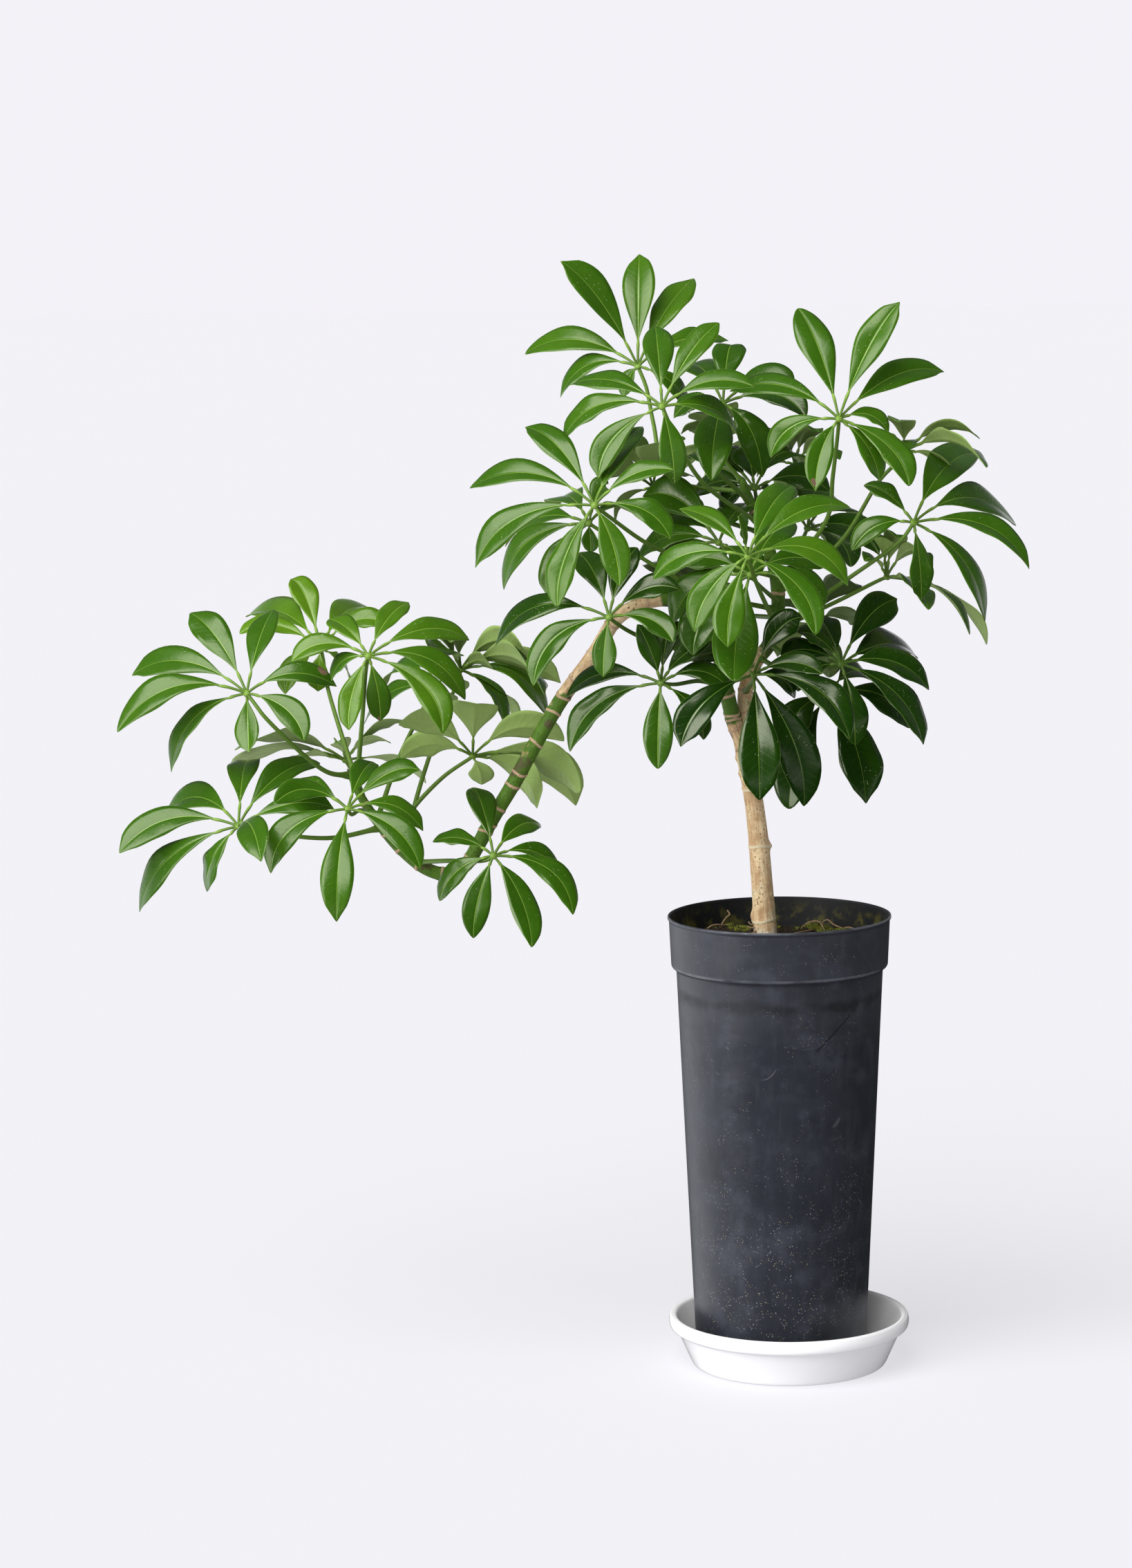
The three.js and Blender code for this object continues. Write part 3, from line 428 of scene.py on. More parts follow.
# Marks on the pot's front: from one (x, height) to another, and how wide
POT_SCRATCH = ((0.0475, 0.2993), (0.019, 0.2719), 0.0009)
POT_SCUFFS = [
    ((-0.0530, 0.2757), (-0.0495, 0.2730), 0.0008),
    ((-0.0652, 0.2643), (-0.0622, 0.2610), 0.0008),
    ((-0.0602, 0.2540), (-0.0566, 0.2518), 0.0007),
    ((0.0150, 0.1343), (0.0215, 0.1393), 0.0008),
    ((0.0158, 0.1402), (0.0208, 0.1334), 0.0007),
    ((0.0180, 0.1330), (0.0187, 0.1408), 0.0006),
]
# How far a drawn line strays, and how far round the pot's side it fades out
LINE_WANDER = 0.003
LINE_FADE = 0.02

# The saucer
SAUCER_RADIUS = 0.0983
SAUCER_HEIGHT = 0.041
SAUCER_FOOT_RADIUS = 0.0795
SAUCER_FLOOR = 0.003
SAUCER_WALL = 0.0027
SAUCER_ROLL_HEIGHT = 0.0105
SAUCER_ROLL_WIDTH = 0.0065

# Steps round a spun piece, steps between a route's points, and how much of an edge an arc
# may take up
TURN_STEPS = 128
ROUTE_DETAIL = 16
ARC_LIMIT = 0.48

# The soil, heaped a little round the trunk and sunk at the pot's wall
SOIL_TOP = 0.348
SOIL_RADIUS = 0.0855
SOIL_GAP = 0.0005
SOIL_CELLS = 140
SOIL_SEED = 41
SOIL_ROUGHNESS = 0.00022
SOIL_MARGIN = 0.002
SOIL_EDGE = 0.012
SOIL_EDGE_DIP = 0.002
MOUND_HEIGHT = 0.004
MOUND_REACH = 0.018
LIME_LINE = SOIL_TOP + 0.008

# Where moss grows: places from the pot's middle, and how far it spreads
MOSS_PATCHES = [
    (0.031, 0.062, 0.018), (-0.026, 0.068, 0.017), (0.052, 0.04, 0.014),
    (-0.058, 0.03, 0.016), (0.02, -0.06, 0.017), (-0.045, -0.045, 0.015),
    (0.06, -0.022, 0.013), (-0.005, 0.074, 0.012), (0.008, -0.028, 0.012),
]
# Loose crumbs and moss tufts: how many, and the ranges of their size, stretch and shape
CRUMBS = 620
CRUMB_SIZES = (0.0006, 0.0021)
CRUMB_LUMPS = (0.72, 1.18)
CRUMB_RISE = 0.2
CRUMB_MOSS = 0.6
MOSS_TUFTS = 420
TUFT_SIZES = (0.0016, 0.0032)
TUFT_RISE = -0.1
TUFT_BLADES = 9
TUFT_BLADE_RADIUS = 0.26
TUFT_BLADE_HEIGHTS = (0.6, 1.1)
TUFT_BLADE_START = 0.25
TUFT_LEANS = (0.1, 0.9)
TUFT_TURNS = (-0.4, 0.4)
STRETCHES = ((0.7, 1.4), (0.7, 1.2), (0.7, 1.1))
# Roots on the soil: places from the pot's middle and heights over the soil
ROOTS = [
    [(0.021, 0.064, 0), (0.027, 0.063, 0.004), (0.036, 0.06, 0.0055), (0.041, 0.052, 0)],
    [(0.037, 0.066, 0), (0.043, 0.059, 0.0075), (0.048, 0.056, 0.004), (0.06, 0.047, 0)],
    [(0.054, 0.051, 0), (0.058, 0.045, 0.003), (0.063, 0.043, 0.0035), (0.069, 0.036, 0)],
    [(-0.046, 0.058, 0), (-0.04, 0.06, 0.009), (-0.037, 0.061, 0.0115), (-0.039, 0.063, 0.014)],
    [(-0.06, 0.044, 0), (-0.052, 0.052, 0.0035), (-0.043, 0.059, 0.003), (-0.036, 0.066, 0)],
    [(0.01, 0.02, 0), (0.022, 0.03, 0.003), (0.03, 0.043, 0.002), (0.03, 0.054, 0)],
    [(-0.012, -0.012, 0.001), (-0.028, -0.02, 0.003), (-0.04, -0.034, 0.002), (-0.05, -0.052, 0)],
    [(0.012, -0.014, 0.001), (0.028, -0.026, 0.004), (0.046, -0.03, 0.002), (0.06, -0.04, 0)],
    [(-0.066, -0.008, 0), (-0.056, -0.014, 0.004), (-0.046, -0.012, 0.003), (-0.036, -0.004, 0)],
    [(-0.018, -0.002, 0.015), (-0.0222, -0.004, 0.0156), (-0.0245, -0.005, 0.018)],
    [(-0.018, -0.003, 0.013), (-0.0225, -0.006, 0.013), (-0.0252, -0.007, 0.0142)],
    [(-0.017, -0.004, 0.01), (-0.021, -0.008, 0.0085), (-0.0232, -0.011, 0.009)],
]
ROOT_RADIUS = 0.0006
ROOT_SIDES = 8
ROOT_STEPS = 24

# The room's colours
PALE = (0.899, 0.887, 0.936)
FLOOR_SHADE = (0.208, 0.206, 0.217)
PALE_SHADE = (0.212, 0.210, 0.221)
FLOOR_GLOW = (0.627, 0.621, 0.653)
FLOOR_SIZE = 60
FLOOR_HEIGHT = -0.0002
SKY_BEHIND = (0.13, 0.13, 0.137)
SKY_IN_FRONT = (0.04, 0.04, 0.042)
HORIZON_IN_FRONT = (0.05, 0.05, 0.053)
LOW_LEFT = (1.5, 1.53, 1.6)
LOW_RIGHT = (0.02, 0.02, 0.022)


def unit(vectors):
    return vectors / np.linalg.norm(vectors, axis=-1, keepdims=True)


def run_along(points):
    """How far along a line each of its points lies"""
    return np.concatenate(([0], np.cumsum(np.linalg.norm(np.diff(points, axis=0), axis=1))))


def smooth_route(points, steps):
    """Evenly spaced places along a smooth curve through the points"""
    points = np.asarray(points, float)
    ends = np.vstack((2 * points[0] - points[1], points, 2 * points[-1] - points[-2]))
    along = np.linspace(0, 1, ROUTE_DETAIL, endpoint=False)[:, None]
    dense = []
    for before, start, end, after in zip(ends, ends[1:], ends[2:], ends[3:]):
        near, middle, far = (math.sqrt(np.linalg.norm(b - a)) for a, b in (
            (before, start), (start, end), (end, after)))
        leave = middle * ((start - before) / near - (end - before) / (near + middle)
                          + (end - start) / middle)
        arrive = middle * ((end - start) / middle - (after - start) / (middle + far)
                           + (after - end) / far)
        step = end - start
        dense.append(start + leave * along + (3 * step - 2 * leave - arrive) * along ** 2
                     + (leave + arrive - 2 * step) * along ** 3)
    dense = np.vstack(dense + [points[-1:]])
    lengths = run_along(dense)
    wanted = np.linspace(0, lengths[-1], steps + 1)
    return np.stack([np.interp(wanted, lengths, dense[:, axis]) for axis in range(3)], axis=-1)


def spread(values, steps):
    """Values at the rows of a route, spread evenly along its steps"""
    return np.interp(np.linspace(0, 1, steps + 1), np.linspace(0, 1, len(values)), values)


def smooth_step(values, low, high):
    share = np.clip((values - low) / (high - low), 0, 1)
    return share * share * (3 - 2 * share)


# Work on pieces

def added(name, data):
    """A new object in the scene"""
    made = bpy.data.objects.new(name, data)
    bpy.context.scene.collection.objects.link(made)
    return made


def select(*pieces):
    bpy.ops.object.select_all(action="DESELECT")
    for piece in pieces:
        piece.select_set(True)
    bpy.context.view_layer.objects.active = pieces[0]


def join(pieces, name):
    select(*pieces)
    if len(pieces) > 1:
        bpy.ops.object.join()
    piece = bpy.context.object
    piece.name = name
    piece.data.name = name
    return piece


def apply_modifier(piece, kind, **settings):
    modifier = piece.modifiers.new(kind.lower(), kind)
    for setting, value in settings.items():
        setattr(modifier, setting, value)
    select(piece)
    bpy.ops.object.modifier_apply(modifier=modifier.name)


def corners(piece):
    flat = np.empty(len(piece.data.vertices) * 3, np.float32)
    piece.data.vertices.foreach_get("co", flat)
    return flat.reshape(-1, 3).astype(float)


def move_corners(piece, places):
    piece.data.vertices.foreach_set("co", np.ascontiguousarray(places, np.float32).ravel())
    piece.data.update()


def mark(piece, name, values):
    """Keeps one number for each corner of a piece, for its finish to read"""
    count = len(piece.data.vertices)
    layer = piece.data.attributes.get(name)
    if layer is None:
        layer = piece.data.attributes.new(name, "FLOAT", "POINT")
    layer.data.foreach_set("value", np.full(count, 1.0, np.float32) * np.float32(values))


def marks(piece, name):
    values = np.empty(len(piece.data.vertices), np.float32)
    piece.data.attributes[name].data.foreach_get("value", values)
    return values


def tube(name, route, radii, sides):
    """A round bar of changing radius along a route, closed at both ends"""
    curve = bpy.data.curves.new(name, "CURVE")
    curve.dimensions = "3D"
    curve.bevel_depth = 1
    curve.bevel_resolution = sides // 2 - 2
    curve.use_fill_caps = True
    spline = curve.splines.new("POLY")
    spline.points.add(len(route) - 1)
    spline.points.foreach_set("co", np.hstack((route, np.ones((len(route), 1)))).ravel())
    spline.points.foreach_set("radius", np.asarray(radii, float))
    select(added(name, curve))
    bpy.ops.object.convert(target="MESH")
    return bpy.context.object


def rounded(outline, arc_steps=5):
    """An outline of (radius, height, rounding) with each corner turned into an arc"""
    points = []
    for number, (radius, height, rounding) in enumerate(outline):
        corner = np.array((radius, height))
        if rounding == 0:
            points.append(corner)
            continue
        before = np.array(outline[number - 1][:2])
        after = np.array(outline[number + 1][:2])
        back = unit(before - corner)
        on = unit(after - corner)
        reach = min(rounding, ARC_LIMIT * np.linalg.norm(before - corner),
                    ARC_LIMIT * np.linalg.norm(after - corner))
        for step in range(arc_steps + 1):
            share = step / arc_steps
            points.append(corner + back * reach * (1 - share) ** 2 + on * reach * share ** 2)
    return points


def turned(name, outline, middle_x=0.0):
    """A piece spun round a vertical axis from its outline, which starts and ends on the axis"""
    mesh = bpy.data.meshes.new(name)
    points = [(radius, 0, height) for radius, height in outline]
    mesh.from_pydata(points, [(i, i + 1) for i in range(len(points) - 1)], [])
    piece = added(name, mesh)
    select(piece)
    bpy.ops.object.mode_set(mode="EDIT")
    bpy.ops.mesh.select_all(action="SELECT")
    bpy.ops.mesh.spin(steps=TURN_STEPS, angle=2 * math.pi, center=(0, 0, 0), axis=(0, 0, 1))
    bpy.ops.mesh.select_all(action="SELECT")
    bpy.ops.mesh.remove_doubles(threshold=1e-6)
    bpy.ops.mesh.normals_make_consistent(inside=False)
    bpy.ops.object.mode_set(mode="OBJECT")
    places = corners(piece)
    places[:, 0] += middle_x
    move_corners(piece, places)
    return piece


def smooth(piece, degrees=180):
    select(piece)
    bpy.ops.object.shade_smooth_by_angle(angle=math.radians(degrees))


def hand_in(piece, finish, node=None):
    """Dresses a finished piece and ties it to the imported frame"""
    piece.data.materials.clear()
    piece.data.materials.append(finish)
    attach(piece, "root")
    if node:
        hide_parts(node)


# Finishes

def operator(operation, swapped=False):
    """A method of Wire that has a node work out one sum"""
    def work_out(self, other=0):
        one, two = (other, self) if swapped else (self, other)
        return self.tree.node("ShaderNodeMath", {"operation": operation}, {0: one, 1: two})

    return work_out


class Wire:
    """A number that the nodes work out, with Python's own operators"""

    def __init__(self, tree, socket):
        self.tree = tree
        self.socket = socket

    __add__ = operator("ADD")
    __radd__ = operator("ADD", swapped=True)
    __sub__ = operator("SUBTRACT")
    __rsub__ = operator("SUBTRACT", swapped=True)
    __mul__ = operator("MULTIPLY")
    __rmul__ = operator("MULTIPLY", swapped=True)
    __truediv__ = operator("DIVIDE")
    __abs__ = operator("ABSOLUTE")


class NodeTree:
    """The nodes of a finish or of the sky"""

    def __init__(self, owner, coordinates):
        owner.use_nodes = True
        self.nodes = owner.node_tree.nodes
        self.links = owner.node_tree.links
        self.coordinates = self.node("ShaderNodeTexCoord", output=coordinates)

    def put(self, socket, value):
        if isinstance(value, Wire):
            self.links.new(value.socket, socket)
        elif isinstance(value, tuple) and len(value) == 3 and socket.type == "RGBA":
            socket.default_value = (*value, 1)
        else:
            socket.default_value = value

    def node(self, kind, settings=None, inputs=None, output=0):
        made = self.nodes.new(kind)
        for setting, value in (settings or {}).items():
            setattr(made, setting, value)
        for socket, value in (inputs or {}).items():
            self.put(made.inputs[socket], value)
        return Wire(self, made.outputs[output])

    def axis(self, number):
        return self.node("ShaderNodeSeparateXYZ", inputs={0: self.coordinates}, output=number)

    def step(self, value, low, high):
        """Rises smoothly from 0 at low to 1 at high"""
        return self.node("ShaderNodeMapRange", {"interpolation_type": "SMOOTHSTEP"},
                         {0: value, 1: low, 2: high, 3: 0.0, 4: 1.0})

    def fade(self, value, low, high):
        """Falls smoothly from 1 at low to 0 at high"""
        return 1 - self.step(value, low, high)

    def mix(self, share, one, other):
        """A colour between two colours"""
        return self.node("ShaderNodeMix", {"data_type": "RGBA"}, {0: share, 6: one, 7: other},
                         output=2)

    def layers(self, colour, *coats):
        """A colour with others laid over it in turn, each given as (share, colour)"""
        for share, coat in coats:
            colour = self.mix(share, colour, coat)
        return colour


class Finish(NodeTree):
    """A material and the nodes that make it"""

    def __init__(self, name, **shader):
        self.material = bpy.data.materials.new(name)
        super().__init__(self.material, "Object")
        self.shader = self.nodes["Principled BSDF"]
        self.set(**shader)

    def set(self, **shader):
        for name, value in shader.items():
            self.put(self.shader.inputs[name.replace("_", " ")], value)

    def value(self, name):
        return self.node("ShaderNodeAttribute", {"attribute_name": name}, output="Fac")

    def stretched(self, *scales, at=None):
        return self.node("ShaderNodeVectorMath", {"operation": "MULTIPLY"},
                         {0: at or self.coordinates, 1: scales})

    def noise(self, scale, detail, roughness=0.5, at=None, distortion=0.0):
        return self.node("ShaderNodeTexNoise", inputs={
            "Vector": at or self.coordinates, "Scale": scale, "Detail": detail,
            "Roughness": roughness, "Distortion": distortion})

    def patches(self, scale, detail, low, high, roughness=0.5):
        """Soft-edged patches, where a noise goes above low"""
        return self.step(self.noise(scale, detail, roughness), low, high)

    def cells(self, scale, at=None):
        """How far a place is from the nearest of many scattered spots"""
        return self.node("ShaderNodeTexVoronoi", inputs={
            "Vector": at or self.coordinates, "Scale": scale})

    def line(self, start, end, width):
        """1 along a straight line on the front, from one (x, height) to another"""
        run = np.array(end) - start
        length = float(np.linalg.norm(run))
        x, z = float(run[0] / length), float(run[1] / length)
        over, up = self.axis(0) - start[0], self.axis(2) - start[1]
        along = over * x + up * z
        off = abs(over * z - up * x + (self.noise(70, 2) - 0.5) * LINE_WANDER)
        line = self.fade(off, width * 0.3, width) * self.step(along, 0, width * 2)
        line = line * self.fade(along, length - width * 2, length)
        return line * self.fade(self.axis(1), -LINE_FADE, 0)

    def relief(self, height, distance):
        self.set(Normal=self.node("ShaderNodeBump", inputs={
            "Height": height, "Distance": distance, "Strength": 1.0}))


def leaf_finish():
    """Glossy green leaflets with a pale rib, faint side veins, specks and a lit rim; painted shade
    darkens the low-toned fronds and painted light pales the young ones' undersides
    """
    leaf = Finish("glossy_leaf", IOR=1.45, Specular_IOR_Level=0.5, Coat_Roughness=0.15,
                  Coat_IOR=1.5, Specular_Tint=(0.95, 1.0, 0.7))
    off_rib, edge, along, under, stalk, tone = (
        leaf.value(name) for name in ("off_rib", "edge", "along", "under", "stalk", "tone"))
    drift = leaf.noise(28, 2)
    mottle = leaf.noise(420, 3)
    patch = leaf.noise(90, 4, 0.6)

    vein_place = (along - abs(off_rib) * VEIN_SLANT) / VEIN_GAP + (drift - 0.5) * 1.6
    side_shift = leaf.step(off_rib, -0.01, 0.01) * 0.45
    off_vein = leaf.node("ShaderNodeMath", {"operation": "PINGPONG"},
                         {0: vein_place + side_shift, 1: 0.5})
    veins = leaf.fade(off_vein, 0.0, 0.085) * leaf.step(abs(off_rib), 0.2, 1.2)
    veins = veins * leaf.step(edge, 0.6, 4.0)
    rib = leaf.fade(abs(off_rib), 0.14, 0.46) * (1 - 0.5 * leaf.step(along, 45, 85))
    rim = leaf.fade(edge, 0.12, 0.5)
    specks = leaf.fade(leaf.cells(330), 0.10, 0.22) * leaf.patches(60, 2, 0.52, 0.68)

    uneven_tone = tone + (drift - 0.5) * 0.25
    young = leaf.step(uneven_tone, 0.5, 1.0)
    # Low tone marks fronds inside and under the crown: partly older leaves, partly painted shade
    aged_and_shaded = leaf.fade(uneven_tone, 0.05, 0.5)
    top = leaf.layers(
        leaf.mix(young, (0.0285, 0.0955, 0.0021), (0.088, 0.200, 0.0055)),
        (leaf.step(patch, 0.35, 0.8) * 0.25, (0.066, 0.135, 0.010)),
        (leaf.step(mottle, 0.45, 0.8) * 0.16, (0.017, 0.055, 0.002)),
        # painted shade: near-black green for the low-toned fronds, over older leaves' own darker
        # colour
        (aged_and_shaded, leaf.mix(patch, (0.0026, 0.0170, 0.0003), (0.0052, 0.0275, 0.0005))),
        (veins * (0.14 - aged_and_shaded * 0.08), (0.075, 0.15, 0.018)),
        (rib * (0.78 - aged_and_shaded * 0.36), (0.20, 0.33, 0.045)),
        (specks * 0.42, (0.32, 0.38, 0.20)))
    below = leaf.layers(
        leaf.mix(patch, (0.235, 0.350, 0.080), (0.300, 0.425, 0.125)),
        (veins * 0.3, (0.31, 0.45, 0.15)),
        (rib * 0.75, (0.29, 0.42, 0.11)),
        # painted shade: the undersides of the same low-toned fronds are darkened too
        (aged_and_shaded * 0.9, (0.020, 0.046, 0.006)),
        # painted light: undersides of young, high-toned fronds are lightened to a pale grey-green
        (young * 0.7, (0.38, 0.48, 0.22)))
    stalk_colour = leaf.layers(
        leaf.mix(tone, (0.050, 0.110, 0.012), (0.125, 0.235, 0.024)),
        (leaf.patches(300, 3, 0.5, 0.8) * 0.3, (0.06, 0.10, 0.02)),
        # the stalks' colour follows the tone, so their darker end also holds painted shade
        (leaf.value("joint"), leaf.mix(aged_and_shaded, (0.18, 0.31, 0.04), (0.065, 0.13, 0.014))))
    dry = leaf.step(leaf.value("dry") + (patch - 0.5) * 0.7, 0.45, 0.62)
    leaf.set(Base_Color=leaf.layers(
        leaf.mix(under, top, below),
        (rim * (0.5 - aged_and_shaded * 0.25), (0.20, 0.33, 0.07)),
        (stalk, stalk_colour),
        (dry, leaf.mix(leaf.noise(500, 3), (0.05, 0.026, 0.014), (0.30, 0.19, 0.12)))))

    matt = under * 0.22 + dry * 0.3 + stalk * 0.25 + specks * 0.15
    leaf.set(Roughness=0.25 - aged_and_shaded * 0.05 + (leaf.noise(130, 3) - 0.5) * 0.12 + matt)
    leaf.set(Coat_Weight=(1 - under) * (1 - dry) * (0.04 + aged_and_shaded * 0.2) * (1 - 0.7 * stalk))
    height = (leaf.noise(60, 2) - 0.5) * 0.5 + (mottle - 0.5) * 0.1 - veins * (1 - under) * 0.07
    leaf.relief(height + veins * under * 0.4 + specks * 0.12, 0.0005)
    return leaf.material


def bark_finish():
    """Tan bark with pores and ring scars, and green skin where the stem is young"""
    bark = Finish("stem_bark", IOR=1.4, Specular_IOR_Level=0.35)
    around = bark.node("ShaderNodeAttribute", {"attribute_name": "round_stem"}, output="Vector")
    green = bark.value("green")
    coarse = bark.noise(95, 4, 0.6, around)
    fine = bark.noise(700, 3, 0.6, around)
    streak = bark.noise(1, 4, 0.6, bark.stretched(520, 520, 60, at=around))
    blotch = bark.noise(62, 3, 0.55)
    off_pore = bark.cells(1, bark.stretched(420, 420, 260, at=around))
    pores = bark.fade(off_pore, 0.13, 0.3) * bark.step(coarse, 0.42, 0.6)

    wood = bark.layers(
        bark.mix(bark.step(coarse, 0.3, 0.7), (0.44, 0.275, 0.135), (0.77, 0.60, 0.36)),
        (bark.step(blotch, 0.5, 0.68) * 0.5, (0.66, 0.62, 0.40)),
        (bark.step(fine, 0.48, 0.68) * 0.55, (0.40, 0.22, 0.12)),
        (bark.step(streak, 0.45, 0.8) * 0.5, (0.82, 0.68, 0.44)),
        (bark.fade(streak, 0.3, 0.55) * 0.45, (0.36, 0.22, 0.11)),
        (pores * 0.75, (0.17, 0.095, 0.045)))
    skin = bark.layers(
        bark.mix(coarse, (0.034, 0.094, 0.005), (0.095, 0.195, 0.012)),
        (bark.step(fine, 0.5, 0.8) * 0.3, (0.13, 0.18, 0.06)))
    young = bark.step(green * 1.25 + (blotch - 0.5) * 1.5, 0.48, 0.66)
    dark_patch = bark.patches(48, 3, 0.55, 0.63, 0.6) * bark.step(green, 0.2, 0.45)
    scar = bark.step(bark.value("scar") + (coarse - 0.5) * 0.5, 0.3, 0.62)
    scar_colour = bark.mix(bark.step(green, 0.05, 0.15), (0.62, 0.54, 0.36),
                           bark.mix(fine, (0.27, 0.16, 0.09), (0.60, 0.43, 0.28)))
    off_lime = abs(bark.axis(2) - LIME_LINE)
    lime = bark.fade(off_lime, 0.001, 0.006) * bark.step(coarse, 0.4, 0.6)
    bark.set(Base_Color=bark.layers(
        bark.mix(young, wood, skin),
        (dark_patch * 0.75, (0.085, 0.055, 0.032)),
        (scar, scar_colour),
        (lime * 0.7, (0.62, 0.60, 0.52))))
    bark.set(Roughness=0.78 - young * 0.28 + (fine - 0.5) * 0.2)
    bark.relief(coarse * 0.7 + fine * 0.4 + streak * 0.5 - pores * 0.6 - young * 0.35, 0.0012)
    return bark.material


def soil_finish():
    """Dark peat with paler fibres and crumbs, and moss where it is damp"""
    soil = Finish("peat", IOR=1.35)
    grain = soil.noise(900, 4, 0.7)
    lumps = soil.noise(160, 4, 0.6)
    fibre = soil.fade(abs(soil.noise(240, 2, distortion=1.5) - 0.5), 0.004, 0.02)
    damp = soil.step(soil.value("moss") + (lumps - 0.5) * 0.8, 0.42, 0.62)
    soil.set(Base_Color=soil.layers(
        soil.mix(grain, (0.012, 0.008, 0.005), (0.075, 0.048, 0.030)),
        (soil.step(lumps, 0.55, 0.75) * 0.5, (0.11, 0.072, 0.045)),
        (fibre * 0.4, (0.20, 0.14, 0.085)),
        (damp, soil.mix(grain, (0.035, 0.048, 0.008), (0.15, 0.17, 0.03)))))
    soil.set(Roughness=0.93 - soil.step(lumps, 0.6, 0.8) * 0.15)
    soil.relief(grain * 0.6 + lumps * 0.6 + fibre * 0.3, 0.002)
    return soil.material


def moss_finish():
    moss = Finish("moss", IOR=1.35, Roughness=0.85)
    moss.set(Base_Color=moss.layers(
        moss.mix(moss.noise(350, 3), (0.09, 0.11, 0.014), (0.36, 0.38, 0.055)),
        (moss.patches(90, 2, 0.5, 0.7) * 0.5, (0.10, 0.085, 0.03))))
    moss.relief(moss.noise(1500, 2), 0.0006)
    return moss.material


def root_finish():
    root = Finish("dry_root", IOR=1.4)
    run = root.noise(260, 4, 0.6)
    root.set(Base_Color=root.mix(run, (0.17, 0.10, 0.052), (0.50, 0.35, 0.20)))
    root.set(Roughness=0.8 + (run - 0.5) * 0.2)
    root.relief(root.noise(1400, 3), 0.0005)
    return root.material


def pot_finish():
    """Moulded charcoal plastic with water lines, drips, scuffs, hairline scratches and dust,
    painted highlights along the lip and the collar's foot, and painted shade inside
    """
    pot = Finish("charcoal_plastic", IOR=1.45, Specular_IOR_Level=0.45)
    height = pot.axis(2)
    cloud = pot.noise(18, 3)
    wander = pot.noise(1, 3, 0.6, pot.stretched(26, 26, 40))
    drips = pot.noise(1, 4, 0.65, pot.stretched(110, 110, 22))
    flow = pot.noise(1, 3, 0.6, pot.stretched(14, 14, 55))
    smudge = pot.patches(34, 4, 0.5, 0.68, 0.65)

    line_height = height + (wander - 0.5) * 0.02
    line = pot.fade(abs(line_height - WATER_LINE), 0.0008, 0.0065)
    second = pot.fade(abs(line_height - LOWER_WATER_LINE), 0.0008, 0.0060)
    lines = (line + second * 0.35) * pot.step(cloud, 0.3, 0.6)
    under_line = pot.step(line_height, POT_COLLAR_FOOT - 0.06, POT_COLLAR_FOOT - 0.034)
    # painted highlights: lighter, glossier lines along the lip's top and the collar's foot, in
    # patches
    lip_highlight = pot.fade(abs(height - POT_TOP + 0.0006), 0.0004, 0.0014)
    collar_highlight = pot.fade(abs(height - POT_COLLAR_FOOT), 0.0005, 0.0016)
    edge_highlights = (lip_highlight + collar_highlight) * pot.patches(50, 3, 0.3, 0.6)

    off_hair = abs(pot.noise(9, 2, distortion=0.8) - 0.5)
    scratches = pot.fade(off_hair, 0.0004, 0.0016) * pot.patches(24, 2, 0.6, 0.66)
    off_scuff = pot.cells(1, pot.stretched(95, 95, 55))
    scuffs = pot.fade(off_scuff, 0.03, 0.10) * pot.patches(40, 2, 0.5, 0.62)
    for start, end, width in POT_SCUFFS:
        scuffs = scuffs + pot.line(start, end, width) * pot.patches(300, 3, 0.35, 0.6)
    low = pot.fade(height, 0.06, 0.22)
    dust = pot.fade(pot.cells(480), 0.10, 0.24)
    dust = dust * pot.step(pot.noise(48, 4, 0.7) + low * 0.1, 0.52, 0.62)
    dust = dust * pot.patches(170, 2, 0.35, 0.5) * (0.6 + low * 0.4)
    dust_colour = pot.mix(pot.patches(260, 1, 0.45, 0.6), (0.24, 0.26, 0.29), (0.30, 0.26, 0.11))
    inside = pot.value("inside")
    green = inside * pot.patches(85, 4, 0.45, 0.65, 0.6)
    green = green * pot.fade(height, SOIL_TOP + 0.006, SOIL_TOP + 0.022)

    pot.set(Base_Color=pot.layers(
        pot.mix(cloud, (0.0105, 0.0120, 0.0172), (0.0240, 0.0270, 0.0368)),
        (pot.step(flow, 0.48, 0.7) * 0.35, (0.032, 0.036, 0.046)),
        (pot.patches(11, 4, 0.52, 0.7, 0.6) * 0.5, (0.006, 0.0064, 0.0085)),
        (lines * 0.5, (0.004, 0.0043, 0.0055)),
        (under_line * (1 - lines) * 0.3, (0.036, 0.039, 0.046)),
        (pot.step(drips, 0.45, 0.75) * 0.28, (0.045, 0.050, 0.060)),
        (smudge * 0.45, (0.040, 0.046, 0.060)),
        # painted highlight lines along the lip and the collar's foot
        (edge_highlights * 0.55, (0.12, 0.125, 0.14)),
        (pot.line(*POT_SCRATCH) * 0.7, (0.003, 0.003, 0.004)),
        (scratches * 0.3, (0.10, 0.105, 0.115)),
        (scuffs * 0.5, (0.09, 0.095, 0.105)),
        (dust * 0.9, dust_colour),
        # painted shade: the inside wall of the pot is darkened towards black
        (inside * 0.8, (0.0032, 0.0034, 0.0035)),
        (green * 0.85, (0.095, 0.085, 0.014))))
    matt = lines * 0.12 + dust * 0.2 + scuffs * 0.15 + smudge * 0.06 + inside * 0.3 - edge_highlights * 0.1
    pot.set(Roughness=0.36 + (cloud - 0.5) * 0.2 + matt)
    pot.relief(pot.noise(2600, 2) * 0.05 + pot.noise(30, 2) * 0.6 - scratches * 0.12, 0.0014)
    return pot.material


